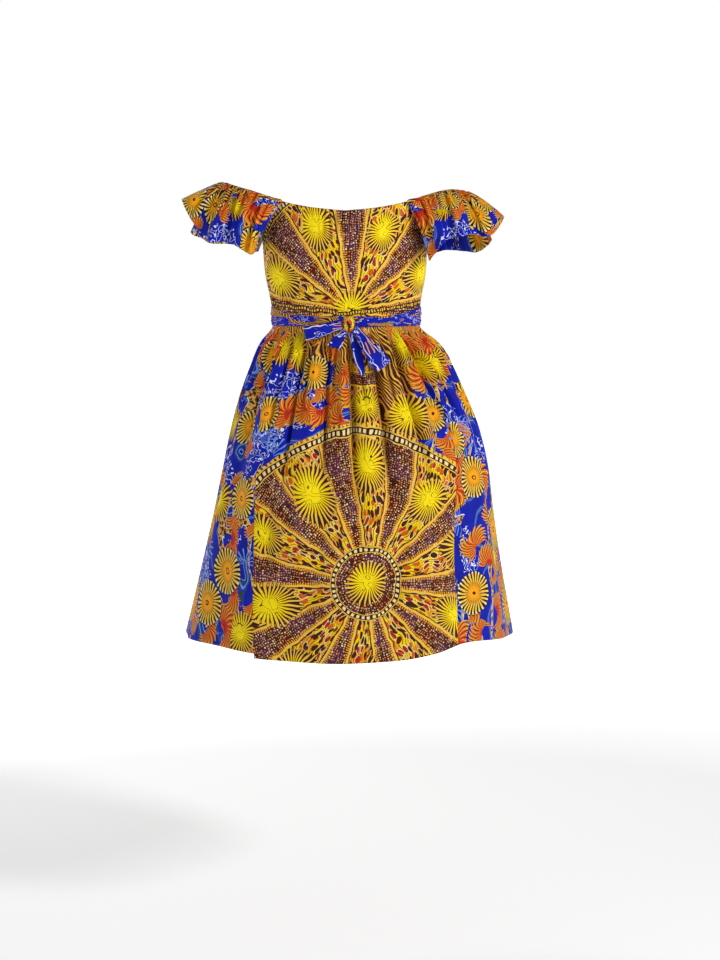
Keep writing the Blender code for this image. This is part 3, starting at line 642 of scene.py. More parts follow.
def panel_hem(panel, depth):
    """Bearings and drops of rows that stand a little above a panel's hem."""
    share = 1 - depth / SKIRT_RUN
    first = seam_bearing(panel.low, share, panel.step) + HEM_TRIM
    last = seam_bearing(panel.high, share, panel.step) - HEM_TRIM
    bearing = between(first, last, np.linspace(0, 1, HEM_COLUMNS)[None, :])
    return bearing, skirt_end(bearing, panel.step) - depth


def turn_up(panel):
    """Cloth turned up inside the hem of a panel."""
    depth = np.linspace(TURN_UP, TURN_UP_FOLD, 9)[:, None]
    bearing, drop = panel_hem(panel, depth)
    points = skirt_surface(bearing, drop)
    height = points[..., 2]
    points = points - outward(bearing, height) * TURN_UP_INSIDE
    cut = np.stack([run_round(bearing, height), -run_down(drop)], axis=-1)
    name = "hem_turn_up_" + panel.node.split("_")[-1]
    return sheet_piece(name, points, cut, panel.material, wall=TURN_UP_WALL)


def hem_line(panel):
    """Line of stitches that holds the turn-up."""
    bearing, drop = panel_hem(panel, np.array([[HEM_STITCHES]]))
    points = skirt_surface(bearing, drop)
    return points[0], outward(bearing, points[..., 2])[0]


def neckline_line(first, last):
    """Line of stitches under the casing of the elastic."""
    bearing = np.linspace(first, last, 240)
    share = 1 - CASING / (top_height(bearing) - seam_height(bearing))
    points = bodice_surface(bearing, share)
    return points, outward(bearing, points[..., 2])


def bodice_panel(name, first, last, material):
    """Half of the bodice, from its upper edge down to the waist seam."""
    columns = round(abs(last - first) * BODICE_DEGREE / COLUMN_STEP)
    rows = round(BODICE_LENGTH / BODICE_ROW_STEP)
    bearing = np.linspace(first, last, columns + 1)[None, :]
    share = np.linspace(1, 0, rows + 1)[:, None]
    bearing, share = np.broadcast_arrays(bearing, share)
    points = bodice_surface(bearing, share)
    middle = 180.0 if last > 180 else 0.0
    width = run_round(bearing, points[..., 2]) - run_round(np.full(share.shape, middle), points[..., 2])
    cut = np.stack([width, points[..., 2]], axis=-1)
    return sheet_piece(name, points, cut, material)


def curve_point(before, start, end, after, t):
    """Point on the smooth curve from start to end."""
    return 0.5 * (
        start * 2
        + (end - before) * t
        + (before * 2 - start * 5 + end * 4 - after) * t * t
        + (start * 3 - before - end * 3 + after) * t * t * t
    )


def armhole_point(bearing, side):
    """Where the sleeve is seamed to the armhole's edge, just outside the bodice."""
    bearing = np.array(bearing * side)
    height = top_height(bearing)
    low = seam_height(bearing) + SEAM_GAP / 2
    share = 1 - JOIN_DROP / (height - low)
    step = 0.2
    run = bodice_plain(bearing + step, share) - bodice_plain(bearing - step, share)
    fall = bodice_plain(bearing, share + 0.002) - bodice_plain(bearing, share - 0.002)
    normal = unit(np.cross(run, fall))
    point = bodice_plain(bearing, share)
    if normal[0] * point[0] + normal[1] * point[1] < 0:
        normal = -normal
    return point + normal * (SEAM_GAP + WALL / 2)


def sleeve(name, side, table, material, steps=12, rows=34):
    """Flounced sleeve, from its gathered upper edge to its wavy hem."""
    mirror = np.array([side, 1, 1])
    hems = [np.array([row.hem_x, row.hem_y, row.hem_z]) * mirror for row in table]
    edges, bearings = [], []
    for row in table:
        if isinstance(row, Join):
            edges.append(armhole_point(row.bearing, side))
            bearings.append(row.bearing)
        else:
            edges.append(np.array([row.edge_x, row.edge_y, row.edge_z]) * mirror)
            bearings.append(None)
    count = len(table)
    tops, ends, loose = [], [], []
    for i in range(count):
        near = [(i + k) % count for k in (-1, 0, 1, 2)]
        here, there = bearings[near[1]], bearings[near[2]]
        for step in range(steps):
            t = step / steps
            ends.append(curve_point(*(hems[k] for k in near), t))
            joined = here is not None and there is not None
            if joined:
                tops.append(armhole_point(between(here, there, t), side))
            else:
                tops.append(curve_point(*(edges[k] for k in near), t))
            loose.append(0.0 if joined else 1.0)
    tops, ends = np.array(tops), np.array(ends)
    loose = np.array(loose)
    spread = np.ones(9) / 9
    loose = np.convolve(np.concatenate([loose[-4:], loose, loose[:4]]), spread, mode="valid")
    turn = between(tops, ends, FLOUNCE_LIFT)
    turn[:, 2] = between(tops[:, 2], ends[:, 2], FLOUNCE_FALL)
    t = np.linspace(0, 1, rows + 1)[:, None, None]
    points = tops * (1 - t) ** 2 + turn * 2 * t * (1 - t) + ends * t * t
    run = np.roll(points, -1, axis=1) - np.roll(points, 1, axis=1)
    fall = np.gradient(points, axis=0)
    normal = unit(np.cross(run, fall)) * side
    around = np.arange(points.shape[1]) / steps * 2 * pi
    way = t[:, :, 0]
    waves = SLEEVE_WAVE * ripples(around, (1.31, 0.7, 1), (2.17, 1.9, 0.7))
    waves = waves * smooth(way / 0.12) * smooth((1.25 - way) / 0.9)
    fine_waves = SLEEVE_FINE_WAVE * ripples(around, (3.77, 0.4, 1))
    fine_waves = fine_waves * smooth(way / 0.05) * smooth((0.50 - way) / 0.45)
    points = points + normal * ((waves + fine_waves) * loose)[..., None]
    along = length_along(np.concatenate([ends, ends[:1]]))
    down = np.broadcast_to(-way * SLEEVE_CLOTH, (rows + 1, len(along)))
    cut = np.stack([np.broadcast_to(along, down.shape), down], axis=-1)
    row = rows - SLEEVE_STITCH_ROWS
    face = np.where(normal[row, :1, 2:] < 0, -1.0, 1.0)
    sewing["sleeves"].append((points[row] + normal[row] * face * SHELL / 2, normal[row] * face))
    return sheet_piece(name, points, cut, material, round_about=True, turned=side > 0, offset=0.0)


def sash_half(name, side, material, columns=90, across=25):
    """Half of the sash, scrunched into soft creases, from the knot to its side seam."""
    end_bearing = np.degrees(np.arcsin((KNOT_REACH + side * KNOT_PLACE[0]) / RINGS[5].left))
    v = np.linspace(1, -1, across)[:, None]
    share = np.linspace(0, 1, columns + 1)[None, :]
    v, share = np.broadcast_arrays(v, share)
    bearing = side * between(end_bearing, SASH_END, share)
    wide = smooth((share - 0.25) / 0.75)
    half = between(SASH_HALF_KNOT, SASH_HALF_SIDE, wide)
    height = between(SASH_MIDDLE_KNOT, SASH_MIDDLE_SIDE, wide) + v * half
    crease = SASH_CREASE * np.cos(pi * (2.5 * v + 1.3 * share))
    fine = SASH_FINE_CREASE * np.sin(pi * (5.2 * v - 2.7 * share + 0.4 * np.sin(share * 9)))
    full = SASH_THICKNESS * (1 - 0.55 * v * v) + (crease + fine) * (1 - v * v)
    points = lifted(bearing, height, SASH_CLEAR + full)
    for row in (1, -2):
        sewing["sash"].append((points[row], outward(bearing[row], height[row])))
    along = share * SASH_FLAT_LENGTH + (SASH_FLAT_START if side > 0 else 0)
    cut = np.stack([along, v * SASH_FLAT_HALF], axis=-1)
    return sheet_piece(name, points, cut, material, turned=side < 0, wall=SASH_SHELL)


def cloth_depth(x, z):
    """How far back the dress stands at a place seen from behind."""
    half = np.where(x > 0, through(RINGS, "height", "left", z), through(RINGS, "height", "right", z))
    return through(RINGS, "height", "back", z) * np.cos(np.arcsin(x / half))


def strap_points(strap, out, across, lift):
    """Places on a bow piece: out from the knot, across its width and up off the cloth."""
    slope = radians(strap.slope)
    x = strap.x + out * np.cos(slope) + across * np.sin(slope)
    z = strap.z - out * np.sin(slope) + across * np.cos(slope)
    return np.stack([x, cloth_depth(x, z) + BOW_LIFT + strap.lift + lift, z], axis=-1)


def loop_path(strap, sides, cap):
    """Places round a loop, each as the way out from the knot and the lift off the cloth."""
    last = strap.length - strap.rise
    share = np.linspace(0, 1, sides + 1)
    out = between(LOOP_ROOT, last, share)
    height = between(LOOP_ROOT, strap.rise, smooth(share * LOOP_OPENING)) * 2
    turn = pi * np.arange(1, cap) / cap
    outs = (out, last + strap.rise * np.sin(turn), out[::-1], LOOP_ROOT - LOOP_ROOT * np.sin(turn))
    lifts = (out * 0, strap.rise * (1 - np.cos(turn)), height[::-1], LOOP_ROOT * (1 + np.cos(turn)))
    return np.concatenate(outs), np.concatenate(lifts)


def bow_loop(strap, material, columns=17):
    """Loop of the bow, pinched into creases at the knot and open at its end."""
    out, lift = (values[:, None] for values in loop_path(strap, 30, 12))
    v = np.linspace(-0.5, 0.5, columns)[None, :]
    share = out / strap.length
    width = between(strap.root, strap.end, smooth(share * LOOP_WIDENING))
    outer = np.where(np.arange(len(out)) > len(out) / 2, 1.0, 0.3)[:, None]
    crease = 0.0008 * np.cos(2 * pi * 2.2 * v + 0.8) * (1 - share) ** 1.5 * smooth(share * 6) * outer
    points = strap_points(strap, out + v * 0, width * v, lift + crease)
    ring = np.arange(len(out) + 1)[:, None] / len(out) * strap.length * 2
    cut = np.stack(np.broadcast_arrays(ring, v * strap.end), axis=-1)
    turned = (points.transpose(1, 0, 2), cut.transpose(1, 0, 2))
    return sheet_piece(strap.name + "_cloth", *turned, material, round_about=True, offset=0.0)


def bow_tail(strap, material, rows=36, columns=15):
    """Free end of the sash, cut on a slant."""
    share = np.linspace(0, 1, rows)[:, None]
    v = np.linspace(-0.5, 0.5, columns)[None, :]
    width = between(strap.root, strap.end, smooth(share * 1.5))
    slant = 0.35 * width * v * smooth(share * 2 - 1)
    lift = strap.rise * smooth(share * 1.2) + 0.0010 * np.cos(2 * pi * v) * (1 - share)
    points = strap_points(strap, strap.length * share + slant, width * v, lift)
    cut = np.stack(np.broadcast_arrays(share * strap.length, v * strap.end), axis=-1)
    return sheet_piece(strap.name + "_cloth", points, cut, material, offset=0.0)


def knot(material):
    """Knot of the sash: a lump wrapped in creased cloth."""
    bpy.ops.object.select_all(action="DESELECT")
    bpy.ops.mesh.primitive_uv_sphere_add(segments=48, ring_count=32, radius=1)
    piece = bpy.context.object
    piece.name = "sash_knot_cloth"
    mesh = piece.data
    places = np.empty(len(mesh.vertices) * 3, dtype=np.float32)
    mesh.vertices.foreach_get("co", places)
    places = places.reshape(-1, 3)
    ridges = 1 - 0.030 * (1 + np.cos(9 * places[:, 0] + 2 * places[:, 2])) * (1 - places[:, 2] ** 2)
    ridges -= 0.022 * (1 + np.cos(17 * places[:, 0] - 3 * places[:, 2] + 1)) * (1 - places[:, 2] ** 2)
    places = places * np.array(KNOT_HALF) * ridges[:, None] + np.array(KNOT_PLACE)
    mesh.vertices.foreach_set("co", places.astype(np.float32).reshape(-1))
    layer = mesh.uv_layers[0]
    layer.name = "Cut"
    flat = np.empty(len(layer.data) * 2, dtype=np.float32)
    layer.data.foreach_get("uv", flat)
    flat = flat.reshape(-1, 2) * np.array([0.07, 0.04], dtype=np.float32)
    layer.data.foreach_set("uv", flat.reshape(-1))
    mesh.materials.clear()
    mesh.materials.append(material)
    mesh.shade_smooth()
    mesh.update()
    return piece


class Ink:
    """A number, place or colour in a print. Its sums add their own Math nodes."""

    def __init__(self, cloth, socket):
        self.cloth = cloth
        self.socket = socket

    def sum(self, operation, *others):
        return self.cloth.node("ShaderNodeMath", {"operation": operation}, dict(enumerate((self, *others))))

    def reflected(self, operation, other):
        return self.cloth.node("ShaderNodeMath", {"operation": operation}, {0: other, 1: self})

    def __add__(self, other):
        return self.sum("ADD", other)

    def __sub__(self, other):
        return self.sum("SUBTRACT", other)

    def __mul__(self, other):
        return self.sum("MULTIPLY", other)

    def __truediv__(self, other):
        return self.sum("DIVIDE", other)

    def __lt__(self, other):
        return self.sum("LESS_THAN", other)

    def __gt__(self, other):
        return self.sum("GREATER_THAN", other)

    def __rsub__(self, other):
        return self.reflected("SUBTRACT", other)

    __radd__ = __add__
    __rmul__ = __mul__

    def size(self):
        return self.sum("ABSOLUTE")

    def floor(self):
        return self.sum("FLOOR")

    def rest(self):
        return self.sum("FRACT")

    def wave(self):
        return self.sum("SINE")


class Cloth:
    """The nodes of one printed cloth, drawn in the metres of the flat cloth."""

    def __init__(self, name):
        self.material = bpy.data.materials.new(name)
        self.material.use_nodes = True
        self.tree = self.material.node_tree
        self.shader = self.tree.nodes["Principled BSDF"]
        self.flat = self.node("ShaderNodeUVMap", {"uv_map": "Cut"})
        self.u, self.v = self.parts(self.flat)

    def node(self, kind, settings=None, sockets=None, output=0):
        made = self.tree.nodes.new(kind)
        for name, value in (settings or {}).items():
            setattr(made, name, value)
        self.fill(made, sockets or {})
        return Ink(self, made.outputs[output])

    def fill(self, node, sockets):
        for name, value in sockets.items():
            if isinstance(value, Ink):
                self.tree.links.new(value.socket, node.inputs[name])
            else:
                node.inputs[name].default_value = value

    def finish(self, sockets):
        self.fill(self.shader, sockets)

    def parts(self, place):
        split = self.node("ShaderNodeSeparateXYZ", sockets={0: place})
        return split, self.beside(split, 1)

    def place(self, x, y):
        return self.node("ShaderNodeCombineXYZ", sockets={0: x, 1: y})

    def offset(self, place, u, v, radius):
        """Place measured from a middle, in radii."""
        moved = self.node("ShaderNodeVectorMath", {"operation": "SUBTRACT"}, {0: place, 1: (u, v, 0)})
        return self.node("ShaderNodeVectorMath", {"operation": "SCALE"}, {0: moved, "Scale": 1 / radius})

    def length(self, place):
        return self.node("ShaderNodeVectorMath", {"operation": "LENGTH"}, {0: place}, output=1)

    def warped(self, place, scale, strength):
        """Place with a soft wobble, so that no line is ruled."""
        cloud = self.noise(place, scale, 1.0, output=1)
        wobble = self.offset(cloud, 0.5, 0.5, 1 / strength)
        return self.node("ShaderNodeVectorMath", {"operation": "ADD"}, {0: place, 1: wobble})

    def over(self, mask, under, upper):
        """One colour over another where the mask is 1."""
        under, upper = (dye(c) if isinstance(c, str) else c for c in (under, upper))
        return self.node("ShaderNodeMix", {"data_type": "RGBA"}, {0: mask, 6: under, 7: upper}, output=2)

    def noise(self, place, scale, detail=2.0, output=0):
        return self.node(
            "ShaderNodeTexNoise",
            {"noise_dimensions": "2D"},
            {"Vector": place, "Scale": scale, "Detail": detail},
            output,
        )

    def beside(self, ink, output):
        """Another output of the node that an ink comes from."""
        return Ink(self, ink.socket.node.outputs[output])

    def cells(self, place, jitter, distance="EUCLIDEAN"):
        """Scattered cells: how far from a cell's middle, and two chance numbers for each cell."""
        near = self.node(
            "ShaderNodeTexVoronoi",
            {"voronoi_dimensions": "2D", "distance": distance},
            {"Vector": place, "Scale": 1.0, "Randomness": jitter},
        )
        chance = self.node("ShaderNodeSeparateColor", sockets={0: self.beside(near, "Color")})
        return near, chance, self.beside(chance, 1)

    def scattered(self, place, pitch):
        """Place measured from the middle of a scattered spot, in pitches, and two chance numbers."""
        spread = self.offset(place, 0, 0, pitch)
        near, chance, other = self.cells(spread, CELL_JITTER)
        spot = self.beside(near, "Position")
        local = self.node("ShaderNodeVectorMath", {"operation": "SUBTRACT"}, {0: spread, 1: spot})
        return local, chance, other

    def polar(self, place):
        """Reach from the middle and turn round it, in radians from upwards."""
        x, y = self.parts(place)
        return self.length(place), x.sum("ARCTAN2", y)


def daisy(cloth, reach, turn, petals=27):
    """Round flower: a gold heart with a fine ring and many petals parted by dark, widening gaps."""
    lobe = (turn * petals).wave()
    petal = cloth.over(reach > 0.48, "gold", "straw")
    petal = cloth.over(reach > 0.82, petal, "cream")
    gap = lobe < (reach - 0.30).sum("MAXIMUM", 0.0) * 1.9 - 0.96
    colour = cloth.over(gap + (reach > 0.93), petal, "ink")
    heart = cloth.over(reach < 0.25, "gold", "amber")
    heart = cloth.over((reach - 0.12).size() < 0.02, heart, "maroon")
    colour = cloth.over(reach < 0.34, colour, heart)
    return colour, reach < lobe * 0.05 + 0.95


def sunburst(cloth, reach, turn, rays=31):
    """Bright yellow fan: dark lines in an uneven heart widen into gaps between ragged rays."""
    lobe = (turn * rays + (turn * 3 + 0.6).wave() * 1.6 + reach * 1.6).wave()
    heart = (turn + 1.0).wave() * 0.12 + 0.28
    gap = (lobe < (reach - heart).sum("MAXIMUM", 0.0) * 2.3 - 0.97) * (reach > 0.24)
    pale = cloth.over(reach > heart + 0.20, "lemon", "yellow")
    pale = cloth.over(reach > heart + 0.40, pale, "straw")
    colour = cloth.over(gap, pale, "brown")
    squiggle = ((cloth.noise(cloth.flat, 40.0, 1.0) * 34).wave() > 0.965) * (reach < heart + 0.14)
    colour = cloth.over(squiggle, colour, "brown")
    ragged = (turn * 2 + reach * 2 + 1.0).wave() * 0.09 + (turn * 5).wave() * 0.04
    return colour, reach < lobe * 0.07 + 0.88 + ragged


def plume_fan(cloth, reach, turn, chance):
    """Curled fan of plumes: red at the root, then orange, with gold tips and dark gaps."""
    curl = turn + reach * reach * 3.2 + chance * 40
    barb = (curl * 21 + (curl * 2).wave() * 4).wave()
    tip = barb * 0.055 + (curl * 3).wave() * 0.04 + 0.42 - reach
    inside = (tip > 0) * (curl.wave() > -0.42)
    colour = cloth.over(reach > barb * 0.07 + 0.13, "red", "orange")
    colour = cloth.over(reach > barb * 0.12 + 0.33, colour, "gold")
    colour = cloth.over((barb < reach * 1.5 - 1.1) * (reach > 0.08), colour, "maroon")
    colour = cloth.over((barb > 0.90) * (reach > 0.12), colour, "straw")
    colour = cloth.over(tip < 0.022, colour, "ink")
    return colour, inside


def nearest(cloth, place, flowers):
    """Place measured in radii from the middle of the nearest flower."""
    best = None
    for u, v, radius in flowers:
        here = cloth.offset(place, u, v, radius)
        if best is None:
            best = here
            continue
        closer = cloth.length(here) < cloth.length(best)
        best = cloth.node("ShaderNodeMix", {"data_type": "VECTOR"}, {0: closer, 4: best, 5: here}, output=1)
    return best


def mosaic(cloth, along, across, pitch=0.0044):
    """Brown and purple cloth covered with rows of small tan and cream specks."""
    place = cloth.place(along / pitch, across / pitch)
    near, chance, other = cloth.cells(place, 0.40, distance="CHEBYCHEV")
    patch = cloth.noise(cloth.flat, 30.0)
    ground = cloth.over(patch > 0.52, "brown", "purple")
    ground = cloth.over(patch < 0.42, ground, "maroon")
    speck = cloth.over(chance > 0.72, "tan", "cream")
    return cloth.over((near < other * 0.18 + 0.14) * (chance > 0.14), ground, speck)


def flames(cloth, along, across):
    """Curved yellow lattice with pale edges round long dark gaps, with red and orange seeds."""
    sway = (cloth.noise(cloth.flat, 24.0, 1.0) - 0.5) * 0.024
    place = cloth.place(along / FLAME_LENGTH, (across + sway) / FLAME_WIDTH)
    near, chance, other = cloth.cells(place, 0.72)
    patch = cloth.noise(cloth.flat, 24.0)
    lattice = cloth.over(patch > 0.54, "yellow", "gold")
    size = other * 0.16 + 0.31
    lattice = cloth.over((near < size + 0.09) * (chance > 0.45), lattice, "cream")
    colour = cloth.over(near < size, lattice, cloth.over(other > 0.5, "maroon", "brown"))
    seed = cloth.over(chance > 0.5, "orange", "red")
    bright = (chance > 0.30) * (chance < 0.66)
    colour = cloth.over((near < size - 0.08) * bright, colour, seed)
    vein = ((across + sway) * (2 * pi / 0.0044) + (along * 90).wave()).wave()
    return cloth.over((vein > 0.80) * (near > size + 0.08), colour, "brown")


# Bursts stand at two reaches by turns, and ring tells whether the hub has a ring of beads
Wheel = namedtuple("Wheel", "u v rays phase hub radius burst other_burst burst_size ring")


def sun_wheel(cloth, place, wheel):
    """Sunburst hub, rays of flames and mosaic wedges by turns, and a rim of squares."""
    local = cloth.offset(place, wheel.u, wheel.v, 1.0)
    reach, turn = cloth.polar(local)
    beat = turn * (wheel.rays / (2 * pi)) + wheel.phase
    ray = beat.floor()
    part = beat - ray - 0.5
    arc = reach * (2 * pi / wheel.rays)
    across = part * arc
    edge = across.size() - arc * 0.29
    wedge = mosaic(cloth, reach + ray * 0.31, ((beat + 0.5).rest() - 0.5) * arc)
    fringe = ((reach / FRINGE_PITCH).rest() < 0.5) * (edge < 0.0056)
    wedge = cloth.over(fringe, wedge, "gold")
    fill = flames(cloth, reach + ray * 0.37, across)
    colour = cloth.over(edge < 0, wedge, fill)
    colour = cloth.over((edge + 0.0042).size() < 0.0010, colour, "brown")
    colour = cloth.over((edge + 0.0008).size() < 0.0020, colour, "straw")
    level = (ray * 0.5).rest() * 2 * (wheel.other_burst - wheel.burst) + wheel.burst
    size = ((ray * 2.3).wave() * 0.14 + 1.0) * wheel.burst_size
    rays = cloth.polar(cloth.place(across / size * 1.05, (reach - level) / size * 0.76))
    burst, on_burst = sunburst(cloth, *rays)
    colour = cloth.over(on_burst, colour, burst)
    # hub
    heart, on_heart = sunburst(cloth, reach / (wheel.hub * 0.62 if wheel.ring else wheel.hub), turn, 29)
    if wheel.ring:
        heart = cloth.over(on_heart, mosaic(cloth, reach, turn * 0.050, 0.0048), heart)
        colour = cloth.over(reach < wheel.hub, colour, heart)
        colour = band(cloth, colour, reach, turn, wheel.hub - 0.006, 0.0056, 40)
    else:
        colour = cloth.over(on_heart, colour, heart)
    # rim
    colour = band(cloth, colour, reach, turn, wheel.radius - 0.009, 0.0088, 170)
    outer = (reach > wheel.radius) * ((turn * 190).wave() > 0)
    colour = cloth.over(outer, colour, "straw")
    return colour, reach


def band(cloth, colour, reach, turn, middle, half, squares):
    """Ring of brown and cream squares between dark lines with pale edges."""
    away = (reach - middle).size()
    beads = cloth.over((turn * squares).wave() > -0.1, "brown", "cream")
    ring = cloth.over(away > half * 0.46, beads, "ink")
    ring = cloth.over(away > half * 0.74, ring, "straw")
    return cloth.over(away < half, colour, ring)


def flowers_over(cloth, colour, place, pitch, share):
    """Scatters plume fans, some pale sprays and some sunbursts over a ground."""
    local, chance, other = cloth.scattered(place, pitch)
    reach, turn = cloth.polar(local)
    plume, on_plume = plume_fan(cloth, reach / (other * 0.35 + 0.86), turn, chance)
    colour = cloth.over(on_plume * (chance < share), colour, plume)
    spray = ((turn * 17 + reach * 5).wave() > 0.62) * ((reach - 0.30).size() < 0.16)
    spray = spray * (chance > share) * (chance < share + 0.14)
    colour = cloth.over(spray * ((turn + other * 30).wave() > -0.1), colour, "sky")
    fan, on_fan = sunburst(cloth, reach / 0.46, turn, 29)
    return cloth.over(on_fan * (chance > 0.91), colour, fan)


def blue_ground(cloth, place, daisies, feathers_above):
    """Royal blue with white curls, strokes, spotted bands and flowers, and feathers towards the top."""
    u, v = cloth.parts(place)
    cloud = cloth.noise(place, 9.0, 1.0)
    colour = cloth.over(cloth.noise(place, 24.0), "deep blue", "blue")
    # white curls
    curls = cloth.warped(place, 110.0, 0.012)
    curl = (cloth.noise(curls, 50.0, 1.0) * 17).wave().size()
    colour = cloth.over((curl < 0.30) * (cloud < 0.405), colour, "white")
    # strokes that follow the patches
    stroke = (cloud * 230).wave()
    strokes = cloth.over(stroke > 0.45, cloth.over(stroke < -0.5, "blue", "olive"), "sky")
    colour = cloth.over((cloud > 0.53) * (cloud < 0.58), colour, strokes)
    # spotted bands
    near, chance, other = cloth.cells(cloth.offset(curls, 0.0, 0.0, SPOT_PITCH), CELL_JITTER)
    spots = cloth.over(chance > 0.6, "tan", "straw")
    spots = cloth.over(near < other * 0.20 + 0.30, spots, cloth.over(other > 0.55, "maroon", "brown"))
    strip = (cloth.noise(cloth.place(u, v * 0.4), 13.0, 1.0) - 0.5).size()
    spots = cloth.over(strip > 0.020, spots, "white")
    colour = cloth.over((strip < 0.024) * (cloud > 0.44), colour, spots)
    # feathers
    above = v + (cloud - 0.5) * 0.40 > feathers_above
    colour = cloth.over(above, colour, feather_ground(cloth, place))
    # flowers
    colour = flowers_over(cloth, colour, cloth.warped(place, 30.0, 0.012), 0.070, 0.70)
    colour = flowers_over(cloth, colour, cloth.offset(place, 0.31, 0.17, 1.0), 0.092, 0.44)
    flower, on_flower = daisy(cloth, *cloth.polar(nearest(cloth, place, daisies)))
    return cloth.over(on_flower, colour, flower)


def feather_ground(cloth, place):
    """Brown and purple ground with curved gold lines, as of feathers that overlap."""
    u, v = cloth.parts(place)
    line = ((u * 0.9 - v * 0.6) * (2 * pi / FEATHER_PITCH) + cloth.noise(place, 16.0, 1.0) * 42).wave()
    colour = cloth.over(cloth.noise(place, 30.0) > 0.5, "brown", "purple")
    colour = cloth.over(line > 0.30, colour, "gold")
    return cloth.over(line > 0.78, colour, "straw")


def cotton_finish(cloth, colour):
    """Matt waxed cotton with its threads and small rumples."""
    finish = {"Roughness": 0.68, "Specular IOR Level": 0.14, "Sheen Weight": 0.03, "Sheen Roughness": 0.45}
    threads = (cloth.u * (2 * pi / THREAD_PITCH)).wave() * (cloth.v * (2 * pi / THREAD_PITCH)).wave()
    height = cloth.noise(cloth.flat, 34.0, 3.0) + threads * 0.04
    bump = cloth.node("ShaderNodeBump", sockets={"Strength": 0.6, "Distance": 0.0012, "Height": height})
    cloth.finish({"Base Color": colour, "Normal": bump, **finish})
    return cloth.material


SKIRT_WHEEL = Wheel(-0.039, -0.482, 10, 0.62, 0.067, 0.283, 0.212, 0.185, 0.043, True)
BODICE_WHEEL = Wheel(-0.011, 0.018, 8, 0.0, 0.040, 0.240, 0.164, 0.154, 0.037, False)
# Each daisy: its place on the flat cloth, u and v, and its radius
LEFT_DAISIES = (
    (0.212, -0.345, 0.040), (0.245, -0.480, 0.045), (0.300, -0.545, 0.044), (0.245, -0.215, 0.036),
    (0.360, -0.400, 0.045), (0.390, -0.180, 0.042), (0.430, -0.560, 0.044), (0.520, -0.330, 0.045),
    (0.220, -0.080, 0.036),
)
RIGHT_DAISIES = (
    (-0.235, -0.235, 0.038), (-0.270, -0.310, 0.042), (-0.262, -0.520, 0.042), (-0.375, -0.420, 0.045),
    (-0.370, -0.170, 0.040), (-0.430, -0.565, 0.044), (-0.520, -0.330, 0.045), (-0.300, -0.050, 0.036),
)
BACK_DAISIES = ((0.088, -0.100, 0.036), (0.205, -0.185, 0.036), (-0.235, -0.185, 0.034))
BACK_BLOOMS = (
    (0.212, -0.052, 0.034), (0.100, -0.165, 0.036), (0.008, -0.185, 0.032), (-0.236, -0.108, 0.040),
)
Burst = namedtuple("Burst", "u v half reach slant")
BACK_BURSTS = (
    Burst(0.150, -0.062, 0.027, 0.046, 0.25),
    Burst(-0.205, -0.050, 0.030, 0.044, -0.30),
    Burst(-0.172, -0.185, 0.060, 0.044, 0.0),
)
LEFT_SLEEVE_DAISIES = (
    (0.035, -0.100, 0.044), (0.110, -0.068, 0.044), (0.265, -0.122, 0.036), (0.400, -0.080, 0.042),
    (0.520, -0.060, 0.044), (0.620, -0.110, 0.040),
)
RIGHT_SLEEVE_DAISIES = (
    (0.030, -0.060, 0.040), (0.095, -0.085, 0.044), (0.175, -0.040, 0.034), (0.400, -0.080, 0.042),
    (0.520, -0.060, 0.044), (0.600, -0.110, 0.040),
)
COLUMN_MIDDLE = -0.060
COLUMN_HALF = 0.042
COLUMN_STRIPE = -0.112
COLUMN_BURST = -0.162
FEATHERS_SIDE = -0.170
FEATHERS_REACH = -0.230


def plain_print(name, daisies, feathers_above):
    cloth = Cloth(name)
    place = cloth.warped(cloth.flat, 42.0, 0.0075)
    return cotton_finish(cloth, blue_ground(cloth, place, daisies, feathers_above))


def ribbon_print(name, edge):
    """Blue cloth with white curls, orange strokes and brown patches, and a white line at each edge."""
    cloth = Cloth(name)
    place = cloth.warped(cloth.flat, 60.0, 0.0060)
    u, v = cloth.parts(place)
    cloud = cloth.noise(place, 30.0, 1.0)
    colour = cloth.over(cloth.noise(place, 24.0), "deep blue", "blue")
    curl = (cloth.noise(cloth.warped(place, 120.0, 0.010), 60.0, 1.0) * 16).wave().size()
    colour = cloth.over((curl < 0.30) * (cloud < 0.42), colour, "white")
    stroke = ((v + u * 0.25) * (2 * pi / 0.0090) + cloud * 7).wave()
    strokes = cloth.over(stroke > 0.80, cloth.over(cloud > 0.59, "orange", "red"), "straw")
    if edge:
        colour = cloth.over((stroke > 0.20) * (cloud > 0.565), colour, strokes)
        rim = (v.size() - edge).size() < 0.0007
        return cotton_finish(cloth, cloth.over(rim * (cloud > 0.42), colour, "white"))
    colour = cloth.over((stroke > 0.60) * (cloud > 0.61), colour, strokes)
    patch = cloth.noise(cloth.place(u * 0.6, v), 26.0, 1.0) > 0.56
    return cotton_finish(cloth, cloth.over(patch, colour, feather_ground(cloth, place)))


def wheel_print(name, wheel, daisies):
    """Sun wheel on flowered ground."""
    cloth = Cloth(name)
    place = cloth.warped(cloth.flat, 42.0, 0.0060)
    colour, reach = sun_wheel(cloth, place, wheel)
    ground = blue_ground(cloth, place, daisies, -0.085)
    if wheel.ring:
        ground = gold_column(cloth, place, ground)
    else:
        place_u, place_v = cloth.parts(cloth.warped(cloth.flat, 60.0, 0.0080))
        away = (place_v - place_u.size() * 0.115 - 0.0118).size()
        dots = cloth.over((place_u / 0.0050).rest() < 0.50, "brown", "straw")
        colour = cloth.over(away < 0.0042, colour, cloth.over(away < 0.0020, "brown", dots))
    colour = cloth.over(reach > wheel.radius + 0.006, colour, ground)
    return cotton_finish(cloth, colour)


